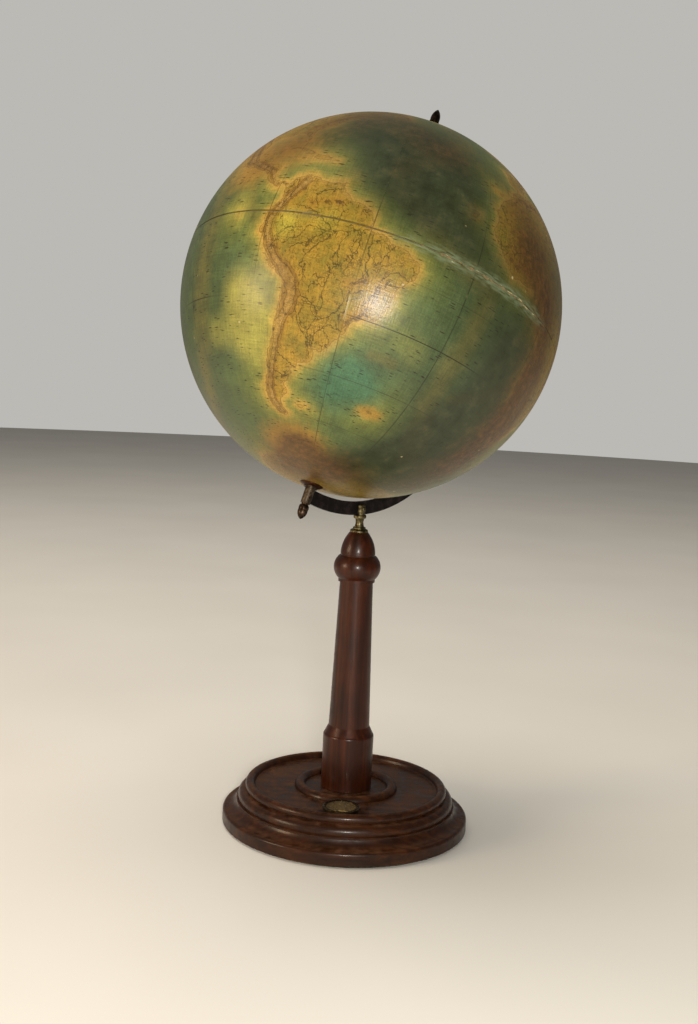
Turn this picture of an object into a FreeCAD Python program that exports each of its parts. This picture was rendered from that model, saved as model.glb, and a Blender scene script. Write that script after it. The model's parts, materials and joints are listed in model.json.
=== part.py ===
# Table globe on a turned wooden stand, with a compass let into the foot.
# Millimetres, +Z up. The origin is the centre of the foot's underside, and -Y is the compass side.
import FreeCAD, Part
import math
import os

os.makedirs("parts", exist_ok=True)
Vec = FreeCAD.Vector
Z = Vec(0, 0, 1)

# ---------------------------------------------------------------- driving dimensions
# globe
GLOBE_R = 165.0           # outside of the printed paper: a 33 cm globe
PAPER_T = 0.4             # gore paper with its size and varnish
PASTE_GAP = 0.1           # paste film between the paper and the shell
SHELL_T = 3.5             # pressed card shell
GORE_COUNT = 12           # gores in each half
GORE_GAP = 0.35           # open joint between neighbouring gores
EQUATOR_GAP = 0.6         # dried-out joint between the two halves of the map
LON_ZERO_DEG = -93.1      # longitude zero at rest, counted from the arm's side of the globe
FIRST_GORE_LON = -50.0    # longitude of one gore edge
TILT_DEG = 23.5           # polar axis from the vertical
ARM_AZIMUTH_DEG = 50.0    # the arm's plane, from +X towards +Y

EQUATOR_RING_H = 24.0     # inner card band that joins the half shells
EQUATOR_RING_T = 2.5
POLE_BLOCK_R = 26.0       # wooden block inside each pole
POLE_BLOCK_T = 14.0
BUSH_R = 5.0              # brass tube in each block
POLE_CAP_R = 10.0         # button over each pole
POLE_CAP_T = 1.9

# axle and arm
AXLE_R = 2.5
RUNNING_FIT = 0.05        # radial clearance of the bushes on the axle
FIXED_FIT = 0.04          # radial clearance of glued, screwed and soldered fits
END_PLAY = 0.3            # axial play between the globe and each thrust washer
WASHER_R = 6.0
WASHER_T = 0.8
ARM_CLEARANCE = 3.5       # globe to the inner edge of the arm
ARM_WIDTH = 12.0          # radial width of the strip
ARM_T = 2.5
BARREL_R = 4.3
BARREL_OVERHANG = 1.5     # barrel past the outer edge of the strip
SOUTH_NUT_H = 14.0
NORTH_NUT_H = 19.0
NUT_R = 4.3
NUT_SHANK = 7.0           # axle thread inside each nut

# post that carries the arm
POST_SHANK_R = 2.9
POST_SHANK_H = 32.0
POST_NECK_R = 4.2
POST_COLLAR_R = 5.8
POST_COLLAR_H = 3.2
POST_CHEEK_R = 4.6
POST_CHEEK_H = 9.4
RIVET_R = 1.4
RIVET_HEAD_R = 2.3
RIVET_HEAD_H = 0.9
FERRULE_R = 8.0
FERRULE_H = 4.4
NECK_SHOWN = 7.8          # neck between the ferrule and the collar

# turned column
COLUMN_BASE_R = 22.9
COLUMN_BASE_H = 49.0
COLUMN_CHAMFER_H = 8.4
SHAFT_BOTTOM_R = 18.5
SHAFT_TOP_R = 14.8
SHAFT_H = 131.6
BEAD_R = 21.0
BEAD_H = 21.8
ACORN_R = 15.6
ACORN_TOP_R = 8.3
ACORN_H = 20.2
TENON_R = 12.0
TENON_H = 16.0

# turned foot
FELT_T = 1.5
FELT_R = 107.0
FELT_HOLE_R = 14.0
FOOT_R = 111.0
PLINTH_H = 12.4
COVE_R = 98.6             # fillet above the cove
RIM_R = 91.2              # outside of the rim roll
RIM_INNER_R = 83.0
RIM_TOP_Z = 38.6
FLOOR_Z = 33.5            # recessed floor between the rim and the centre ring
RING_OUTER_R = 46.6
RING_INNER_R = 36.9
RING_TOP_Z = 38.8
WELL_Z = 34.3             # sunken disc that the column stands on

# screw that pulls the column onto the foot
SCREW_R = 2.4
SCREW_HEAD_R = 5.2
SCREW_HEAD_H = 3.6
SCREW_GRIP = 26.0
SCREW_WASHER_R = 8.5
SCREW_WASHER_T = 1.4
COUNTERBORE_R = 9.5
COUNTERBORE_Z = 11.0

# compass
COMPASS_X = -3.0
COMPASS_Y = -64.6
COMPASS_R = 15.6
COMPASS_TOP_Z = 38.0
COMPASS_BOTTOM_Z = 27.0
COMPASS_WALL = 0.8
CARD_T = 0.6
GLASS_T = 1.2
BEZEL_T = 1.0
NEEDLE_T = 0.5
NEEDLE_W = 3.2
NEEDLE_LIFT = 2.4         # needle above the card
PIVOT_R = 0.9
PIVOT_NECK_R = 0.5
CUP_BOSS_R = 1.0
CUP_R = 1.6

# ---------------------------------------------------------------- derived places
foot_bottom = FELT_T
column_z0 = WELL_Z
chamfer_z0 = column_z0 + COLUMN_BASE_H
shaft_z0 = chamfer_z0 + COLUMN_CHAMFER_H
shaft_z1 = shaft_z0 + SHAFT_H
bead_z0 = shaft_z1 + 2.6
bead_z1 = bead_z0 + BEAD_H
column_top = bead_z1 + ACORN_H
collar_z0 = column_top + FERRULE_H + NECK_SHOWN
arm_outer_r = GLOBE_R + ARM_CLEARANCE + ARM_WIDTH
arm_inner_r = GLOBE_R + ARM_CLEARANCE
slot_z = collar_z0 + POST_COLLAR_H
GLOBE_Z = slot_z + arm_outer_r

paper_inner_r = GLOBE_R - PAPER_T
shell_r = paper_inner_r - PASTE_GAP
shell_inner_r = shell_r - SHELL_T
cap_top = GLOBE_R + POLE_CAP_T
washer_0 = cap_top + END_PLAY
washer_1 = washer_0 + WASHER_T
barrel_1 = arm_outer_r + BARREL_OVERHANG


# ---------------------------------------------------------------- helpers
def turned(*steps):
    """Solid of revolution about Z. A step is (r, z) for a line or ((r, z), (r, z)) for an arc."""
    first = Vec(steps[0][0], 0, steps[0][1])
    here, edges = first, []
    for step in steps[1:]:
        if isinstance(step[0], tuple):
            mid, end = (Vec(point[0], 0, point[1]) for point in step)
            edges.append(Part.Arc(here, mid, end).toShape())
        else:
            end = Vec(step[0], 0, step[1])
            edges.append(Part.makeLine(here, end))
        here = end
    if here.distanceToPoint(first) > 1e-6:
        edges.append(Part.makeLine(here, first))
    face = Part.Face(Part.Wire(edges))
    return face.revolve(Vec(0, 0, 0), Z, 360)


def tube(r_out, r_in, z0, z1):
    body = Part.makeCylinder(r_out, z1 - z0, Vec(0, 0, z0))
    if r_in <= 0:
        return body
    return body.cut(Part.makeCylinder(r_in, z1 - z0 + 2, Vec(0, 0, z0 - 1)))


def to_arm_plane(shape):
    """Turns a shape drawn in the XZ plane into the arm's plane."""
    shape = shape.copy()
    shape.rotate(Vec(0, 0, 0), Z, ARM_AZIMUTH_DEG)
    return shape


def to_globe(shape):
    """Moves a shape drawn about the Z axis onto the tilted polar axis."""
    shape = shape.copy()
    shape.rotate(Vec(0, 0, 0), Vec(0, 1, 0), TILT_DEG)
    shape.translate(Vec(0, 0, GLOBE_Z))
    return to_arm_plane(shape)


def at_pole(shape, south):
    """Puts a shape drawn at the north pole there, or at the south pole."""
    shape = shape.copy()
    if south:
        shape.rotate(Vec(0, 0, 0), Vec(0, 1, 0), 180)
    return to_globe(shape)


def at_compass(shape):
    shape = shape.copy()
    shape.translate(Vec(COMPASS_X, COMPASS_Y, 0))
    return shape


def save(name, shape):
    for solid in shape.Solids:
        if not solid.isValid():
            raise ValueError(name + " is not a valid solid")
    shape.exportStep("parts/" + name + ".step")


def on_sphere(radius, rho):
    return math.sqrt(radius * radius - rho * rho)


# ---------------------------------------------------------------- foot
def foot():
    plinth_top = foot_bottom + PLINTH_H
    fillet_z = plinth_top + 6.6
    bead_z = fillet_z + 1.6
    rim_z = 31.9
    rim_mid = (RIM_R + RIM_INNER_R) / 2
    ring_mid = (RING_OUTER_R + RING_INNER_R) / 2
    body = turned(
        (0, foot_bottom), (FOOT_R - 1.2, foot_bottom),
        ((FOOT_R - 0.35, foot_bottom + 0.35), (FOOT_R, foot_bottom + 1.2)),
        (FOOT_R, plinth_top - 3.0),
        ((FOOT_R - 0.9, plinth_top - 0.9), (FOOT_R - 3.0, plinth_top)),
        ((COVE_R + 3.0, plinth_top + 2.2), (COVE_R, fillet_z)),
        (COVE_R, bead_z - 0.4), (COVE_R - 1.6, bead_z - 0.4), (COVE_R - 1.6, bead_z),
        ((COVE_R - 1.7, rim_z - 4.4), (RIM_R - 0.2, rim_z - 0.9)),
        (RIM_R - 1.3, rim_z - 0.6), (RIM_R - 1.3, rim_z + 0.1), (RIM_R - 0.3, rim_z + 0.3),
        ((rim_mid + 2.6, RIM_TOP_Z - 1.0), (rim_mid, RIM_TOP_Z)),
        ((RIM_INNER_R + 1.2, RIM_TOP_Z - 1.0), (RIM_INNER_R, RIM_TOP_Z - 3.0)),
        (RIM_INNER_R - 0.3, FLOOR_Z + 1.0),
        ((RIM_INNER_R - 0.6, FLOOR_Z + 0.3), (RIM_INNER_R - 1.3, FLOOR_Z)),
        (RING_OUTER_R, FLOOR_Z), (RING_OUTER_R, FLOOR_Z + 1.0),
        ((ring_mid, RING_TOP_Z), (RING_INNER_R, WELL_Z + 1.0)),
        (RING_INNER_R, WELL_Z), (0, WELL_Z))
    body = body.cut(tube(TENON_R + FIXED_FIT, 0, WELL_Z - TENON_H - 1, WELL_Z + 1))
    body = body.cut(tube(COUNTERBORE_R, 0, foot_bottom - 1, COUNTERBORE_Z))
    body = body.cut(tube(SCREW_R + 0.3, 0, 0, WELL_Z))
    pocket = tube(COMPASS_R + FIXED_FIT, 0, COMPASS_BOTTOM_Z, RIM_TOP_Z + 1)
    return body.cut(at_compass(pocket))


save("foot", foot())
save("foot_felt", tube(FELT_R, FELT_HOLE_R, 0, FELT_T))


# ---------------------------------------------------------------- column
def column():
    body = turned(
        (0, column_z0 - TENON_H), (TENON_R, column_z0 - TENON_H), (TENON_R, column_z0),
        (COLUMN_BASE_R - 0.6, column_z0), (COLUMN_BASE_R, column_z0 + 0.6),
        (COLUMN_BASE_R, chamfer_z0 - 0.8), ((COLUMN_BASE_R - 0.3, chamfer_z0 + 0.2),
                                            (COLUMN_BASE_R - 1.0, chamfer_z0 + 1.2)),
        (SHAFT_BOTTOM_R, shaft_z0), (SHAFT_TOP_R, shaft_z1),
        (SHAFT_TOP_R + 1.6, shaft_z1), (SHAFT_TOP_R + 1.6, bead_z0),
        ((BEAD_R, (bead_z0 + bead_z1) / 2), (ACORN_R + 0.9, bead_z1 - 1.2)),
        (ACORN_R - 0.5, bead_z1 - 0.8), (ACORN_R - 0.5, bead_z1), (ACORN_R, bead_z1 + 0.3),
        ((ACORN_R - 2.0, bead_z1 + 0.53 * ACORN_H), (ACORN_TOP_R, column_top - 0.3)),
        (ACORN_TOP_R - 0.5, column_top), (0, column_top))
    body = body.cut(tube(POST_SHANK_R + FIXED_FIT, 0, column_top - POST_SHANK_H - 2, column_top + 1))
    screw_top = COUNTERBORE_Z + SCREW_GRIP + 1
    return body.cut(tube(SCREW_R + FIXED_FIT, 0, column_z0 - TENON_H - 1, screw_top))


def column_screw():
    washer_z = COUNTERBORE_Z - SCREW_WASHER_T
    head_z = washer_z - SCREW_HEAD_H
    body = turned(
        (0, head_z), (SCREW_HEAD_R - 1.6, head_z),
        ((SCREW_HEAD_R - 0.5, head_z + 0.7), (SCREW_HEAD_R, head_z + 2.0)),
        (SCREW_HEAD_R, washer_z), (SCREW_R, washer_z), (SCREW_R, COUNTERBORE_Z + SCREW_GRIP - 3),
        (0, COUNTERBORE_Z + SCREW_GRIP))
    slot = Part.makeBox(2 * SCREW_HEAD_R + 2, 1.2, 2.2, Vec(-SCREW_HEAD_R - 1, -0.6, head_z - 1))
    return body.cut(slot)


save("column", column())
save("column_screw", column_screw())
save("column_washer",
     tube(SCREW_WASHER_R, SCREW_R + 0.3, COUNTERBORE_Z - SCREW_WASHER_T, COUNTERBORE_Z))


# ---------------------------------------------------------------- post and ferrule
def ferrule():
    top = column_top + FERRULE_H
    return turned(
        (POST_NECK_R + FIXED_FIT, column_top), (FERRULE_R, column_top),
        (FERRULE_R, column_top + 1.2),
        ((FERRULE_R - 0.4, column_top + 2.0), (FERRULE_R - 1.2, column_top + 2.4)),
        (POST_NECK_R + 1.6, column_top + 2.8), (POST_NECK_R + 1.4, top - 0.4),
        (POST_NECK_R + 1.0, top), (POST_NECK_R + FIXED_FIT, top))


def post():
    collar_top = collar_z0 + POST_COLLAR_H
    cheek_top = slot_z + POST_CHEEK_H
    body = turned(
        (0, column_top - POST_SHANK_H), (POST_SHANK_R - 0.8, column_top - POST_SHANK_H),
        (POST_SHANK_R, column_top - POST_SHANK_H + 1.2), (POST_SHANK_R, column_top),
        (POST_NECK_R, column_top), (POST_NECK_R, column_top + FERRULE_H + 0.6),
        ((POST_NECK_R - 0.7, (column_top + FERRULE_H + collar_z0) / 2), (POST_NECK_R, collar_z0)),
        (POST_COLLAR_R - 0.5, collar_z0),
        ((POST_COLLAR_R, collar_z0 + POST_COLLAR_H / 2), (POST_COLLAR_R - 0.5, collar_top)),
        (POST_CHEEK_R, collar_top), (POST_CHEEK_R, cheek_top - 1.6),
        ((POST_CHEEK_R - 0.5, cheek_top - 0.5), (POST_CHEEK_R - 1.6, cheek_top)), (0, cheek_top))
    half = ARM_T / 2 + FIXED_FIT
    slot_cut = Part.makeBox(4 * POST_COLLAR_R, 2 * half, POST_CHEEK_H + 10,
                            Vec(-2 * POST_COLLAR_R, -half, slot_z))
    sweep = Part.makeCylinder(arm_outer_r, 2 * half, Vec(0, -half, GLOBE_Z), Vec(0, 1, 0))
    body = body.cut(slot_cut.common(sweep)).cut(rivet_hole())
    return to_arm_plane(body)


def rivet_z():
    return slot_z + 0.55 * POST_CHEEK_H


def rivet_hole():
    reach = 4 * POST_COLLAR_R
    return Part.makeCylinder(RIVET_R + FIXED_FIT, reach, Vec(0, -reach / 2, rivet_z()), Vec(0, 1, 0))


def rivet():
    seat = POST_CHEEK_R
    tip, flat = seat + RIVET_HEAD_H, 0.3 * RIVET_HEAD_R
    round_r, round_z = 0.8 * RIVET_HEAD_R, seat + 0.68 * RIVET_HEAD_H
    body = turned(
        (0, -tip), (flat, -tip), ((round_r, -round_z), (RIVET_HEAD_R, -seat)), (RIVET_R, -seat),
        (RIVET_R, seat), (RIVET_HEAD_R, seat), ((round_r, round_z), (flat, tip)), (0, tip))
    body.rotate(Vec(0, 0, 0), Vec(1, 0, 0), 90)
    body.translate(Vec(0, 0, rivet_z()))
    return to_arm_plane(body)


save("column_ferrule", ferrule())
save("arm_post", post())
save("arm_rivet", rivet())


# ---------------------------------------------------------------- meridian arm and axle
def barrel(south):
    return at_pole(tube(BARREL_R, AXLE_R + FIXED_FIT, washer_1, barrel_1), south)


def arm():
    """Half circle of flat strip from the south pole, under the globe, to the north pole."""
    start = -90 - TILT_DEG
    ring = Part.makeCylinder(arm_outer_r, ARM_T, Vec(0, 0, 0), Z, 180)
    ring = ring.cut(Part.makeCylinder(arm_inner_r, ARM_T + 2, Vec(0, 0, -1)))
    ring.rotate(Vec(0, 0, 0), Z, start)
    # lay the ring's plane into XZ, with its thickness centred on Y
    ring.rotate(Vec(0, 0, 0), Vec(1, 0, 0), 90)
    ring.translate(Vec(0, ARM_T / 2, GLOBE_Z))
    strip = to_arm_plane(ring.cut(rivet_hole()))
    for south in (False, True):
        solid_barrel = at_pole(tube(BARREL_R, 0, washer_1 - 5, barrel_1 + 5), south)
        strip = strip.cut(solid_barrel)
    return strip


def axle():
    reach_n = barrel_1 + NUT_SHANK
    reach_s = barrel_1 + NUT_SHANK
    return to_globe(tube(AXLE_R, 0, -reach_s, reach_n))


def acorn_nut(height, south):
    base = barrel_1
    body = turned(
        (0, base), (NUT_R - 1.0, base), (NUT_R - 1.3, base + 1.2), (NUT_R - 0.3, base + 2.0),
        ((NUT_R, base + 3.4), (NUT_R - 0.15, base + 0.42 * height)),
        ((NUT_R * 0.72, base + 0.80 * height), (0.5, base + height)), (0, base + height))
    return at_pole(body.cut(tube(AXLE_R + FIXED_FIT, 0, base - 1, base + NUT_SHANK + 0.4)), south)


save("meridian_arm", arm())
save("axle_rod", axle())
for end, is_south, nut_height in (("south", True, SOUTH_NUT_H), ("north", False, NORTH_NUT_H)):
    save(end + "_barrel", barrel(is_south))
    save(end + "_washer", at_pole(tube(WASHER_R, AXLE_R + RUNNING_FIT, washer_0, washer_1), is_south))
    save(end + "_nut", acorn_nut(nut_height, is_south))


# ---------------------------------------------------------------- globe
block_outer = shell_inner_r - PASTE_GAP
cap_hole_r = AXLE_R + 0.5


def half_ball(radius):
    return Part.makeSphere(radius, Vec(0, 0, 0), Z, 0, 90, 360)


def half_shell(south):
    body = half_ball(shell_r).cut(half_ball(shell_inner_r))
    body = body.cut(tube(shell_r + 5, 0, -1, 0.05))
    return at_pole(body.cut(tube(BUSH_R + FIXED_FIT, 0, 0, GLOBE_R + 5)), south)


def pole_block(south):
    flat = block_outer - POLE_BLOCK_T
    body = Part.makeSphere(block_outer).common(tube(POLE_BLOCK_R, 0, flat, GLOBE_R))
    return at_pole(body.cut(tube(BUSH_R + FIXED_FIT, 0, flat - 1, GLOBE_R)), south)


def bush(south):
    flat = block_outer - POLE_BLOCK_T
    return at_pole(tube(BUSH_R, AXLE_R + RUNNING_FIT, flat - 2, shell_r - 0.2), south)


def pole_cap(south):
    rim_z = on_sphere(GLOBE_R, POLE_CAP_R) + 0.05
    hole_z = on_sphere(GLOBE_R, cap_hole_r) + 0.05
    mid_rho = (POLE_CAP_R + cap_hole_r) / 2
    body = turned(
        (cap_hole_r, hole_z),
        ((mid_rho, on_sphere(GLOBE_R, mid_rho) + 0.05), (POLE_CAP_R, rim_z)),
        (POLE_CAP_R, rim_z + 0.5),
        ((POLE_CAP_R - 2.4, cap_top - 0.35), (cap_hole_r, cap_top)))
    return at_pole(body, south)


def gores(south):
    """Twelve separate paper gores of one half of the map."""
    skin = half_ball(GLOBE_R).cut(half_ball(paper_inner_r))
    skin = skin.cut(tube(GLOBE_R + 5, 0, -1, EQUATOR_GAP / 2))
    skin = skin.cut(tube(cap_hole_r + 2.0, 0, 0, GLOBE_R + 5))
    step = 360.0 / GORE_COUNT
    open_half = math.degrees(GORE_GAP / 2 / GLOBE_R)
    reach = GLOBE_R + 10
    pieces = []
    for index in range(GORE_COUNT):
        wedge = Part.makeCylinder(reach, reach, Vec(0, 0, -1), Z, step - 2 * open_half)
        first = LON_ZERO_DEG + FIRST_GORE_LON + index * step
        if south:
            # the south half is turned over about Y, which mirrors its longitudes
            first = 180.0 - first - step
        wedge.rotate(Vec(0, 0, 0), Z, first + open_half)
        pieces += skin.common(wedge).Solids
    return at_pole(Part.makeCompound(pieces), south)


save("equator_ring", to_globe(tube(shell_inner_r - 1.0, shell_inner_r - 1.0 - EQUATOR_RING_T,
                                   -EQUATOR_RING_H / 2, EQUATOR_RING_H / 2)))
for end, is_south in (("south", True), ("north", False)):
    save("shell_" + end, half_shell(is_south))
    save("pole_block_" + end, pole_block(is_south))
    save("bush_" + end, bush(is_south))
    save("pole_cap_" + end, pole_cap(is_south))
    save("gores_" + end, gores(is_south))

# ---------------------------------------------------------------- compass
card_z = COMPASS_BOTTOM_Z + COMPASS_WALL
card_top = card_z + CARD_T
glass_z = COMPASS_TOP_Z - BEZEL_T - GLASS_T
needle_z = card_top + NEEDLE_LIFT
case_inner_r = COMPASS_R - COMPASS_WALL


def compass_case():
    body = tube(COMPASS_R, 0, COMPASS_BOTTOM_Z, COMPASS_TOP_Z - BEZEL_T)
    body = body.cut(tube(case_inner_r, 0, card_z, COMPASS_TOP_Z))
    ledge = tube(case_inner_r + 0.01, case_inner_r - 0.9, glass_z - 1.0, glass_z)
    return at_compass(body.fuse(ledge).removeSplitter())


def compass_pivot():
    tip = needle_z + NEEDLE_T
    return at_compass(turned((0, card_top), (PIVOT_R, card_top), (PIVOT_R, card_top + 0.8),
                             (PIVOT_NECK_R, card_top + 1.2), (PIVOT_NECK_R, tip - 0.9), (0, tip)))


def compass_needle():
    reach = case_inner_r - 2.6
    points = [Vec(reach, 0, 0), Vec(0, NEEDLE_W / 2, 0), Vec(-reach, 0, 0), Vec(0, -NEEDLE_W / 2, 0)]
    outline = Part.Face(Part.makePolygon(points + points[:1]))
    body = outline.extrude(Vec(0, 0, NEEDLE_T))
    body.translate(Vec(0, 0, needle_z))
    body = body.cut(tube(CUP_BOSS_R + FIXED_FIT, 0, needle_z - 1, needle_z + 2))
    body.rotate(Vec(0, 0, 0), Z, 118)
    return at_compass(body)


def needle_cup():
    seat, bore = needle_z + NEEDLE_T, PIVOT_NECK_R + 0.1
    top = seat + 0.9
    return at_compass(turned((bore, needle_z - 0.3), (CUP_BOSS_R, needle_z - 0.3),
                             (CUP_BOSS_R, seat), (CUP_R, seat), (CUP_R, seat + 0.4), (0.7, top),
                             (0, top), (0, seat + 0.3), (bore, seat - 0.6)))


def compass_bezel():
    low = COMPASS_TOP_Z - BEZEL_T
    return at_compass(turned(
        (case_inner_r - 1.4, low), (COMPASS_R + 0.6, low), (COMPASS_R + 0.6, low + 0.4),
        ((COMPASS_R - 0.1, COMPASS_TOP_Z - 0.1), (COMPASS_R - 0.9, COMPASS_TOP_Z)),
        (case_inner_r - 1.4, low + 0.5)))


save("compass_case", compass_case())
save("compass_card", at_compass(tube(case_inner_r - 0.1, 0, card_z, card_top)))
save("compass_pivot", compass_pivot())
save("compass_needle", compass_needle())
save("compass_needle_cup", needle_cup())
save("compass_glass", at_compass(tube(case_inner_r - 0.1, 0, glass_z, glass_z + GLASS_T)))
save("compass_bezel", compass_bezel())
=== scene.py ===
# Looks of a table globe on a turned wooden stand: aged printed map, French-polished wood,
# tarnished brass and a small inset compass. Metres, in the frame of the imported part.
import json
import math

import bmesh
import bpy
import numpy as np
from mathutils import Matrix, Vector, kdtree, noise


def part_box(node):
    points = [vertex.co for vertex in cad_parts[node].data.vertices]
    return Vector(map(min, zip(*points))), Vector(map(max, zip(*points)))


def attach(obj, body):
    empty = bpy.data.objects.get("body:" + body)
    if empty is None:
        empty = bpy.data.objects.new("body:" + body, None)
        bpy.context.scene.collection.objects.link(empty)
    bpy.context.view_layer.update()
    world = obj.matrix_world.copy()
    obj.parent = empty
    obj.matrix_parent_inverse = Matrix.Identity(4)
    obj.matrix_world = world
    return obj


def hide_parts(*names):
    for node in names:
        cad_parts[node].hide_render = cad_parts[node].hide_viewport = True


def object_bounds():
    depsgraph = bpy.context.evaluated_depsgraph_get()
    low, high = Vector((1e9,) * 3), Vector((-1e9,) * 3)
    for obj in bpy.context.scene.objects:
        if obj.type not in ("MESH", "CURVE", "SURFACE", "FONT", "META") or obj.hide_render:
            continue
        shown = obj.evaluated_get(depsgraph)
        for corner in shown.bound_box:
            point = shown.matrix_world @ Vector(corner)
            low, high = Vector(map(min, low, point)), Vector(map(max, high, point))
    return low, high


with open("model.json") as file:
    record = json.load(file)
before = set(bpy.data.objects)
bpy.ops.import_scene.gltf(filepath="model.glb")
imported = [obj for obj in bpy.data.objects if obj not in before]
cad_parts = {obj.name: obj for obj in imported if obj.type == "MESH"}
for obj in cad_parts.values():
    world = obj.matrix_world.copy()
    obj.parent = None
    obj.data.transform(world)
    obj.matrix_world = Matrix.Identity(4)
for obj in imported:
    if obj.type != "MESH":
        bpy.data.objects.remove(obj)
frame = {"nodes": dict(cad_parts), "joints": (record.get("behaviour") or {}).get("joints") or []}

cad_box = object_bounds()
nodes = frame["nodes"]
joints = {joint["name"]: joint for joint in frame["joints"]}

MM = 0.001

# ---------------------------------------------------------------- places, from the frame
globe_centre = Vector(joints["globe_spin"]["pos_m"])
globe_axis = Vector(joints["globe_spin"]["axis"]).normalized()
globe_r = (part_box("gores_north")[1].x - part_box("gores_south")[0].x) / 2
compass_centre = Vector(joints["needle_spin"]["pos_m"])
foot_low, foot_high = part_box("foot")
column_low, column_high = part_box("column")
foot_r = foot_high.x
arm_azimuth = math.atan2(globe_axis.y, globe_axis.x)
tilt = math.acos(globe_axis.z)

# turns map directions (Z towards the north pole, X towards the arm's side) into the frame
map_to_frame = Matrix.Rotation(arm_azimuth, 3, "Z") @ Matrix.Rotation(tilt, 3, "Y")

GLOBE_MM = globe_r / MM
LON_ZERO = -93.1          # degrees from the arm's side to longitude zero
FIRST_GORE = -50.0        # longitude of a gore edge
GORES = 12
GORE_STEP = 360 / GORES
SEAM_MM = 0.1             # joint between gores, pasted almost closed
EQUATOR_MM = 0.6          # open joint along the equator
POLE_HOLE_MM = 5.0
PAPER_MM = 0.4
MESH_STEP_MM = 1.6       # vertex spacing on the map


# ---------------------------------------------------------------- geography: (longitude, latitude)
def outline(text):
    """Points of a coast or river from pairs of degrees."""
    return np.array(text.split(), float).reshape(-1, 2)


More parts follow.
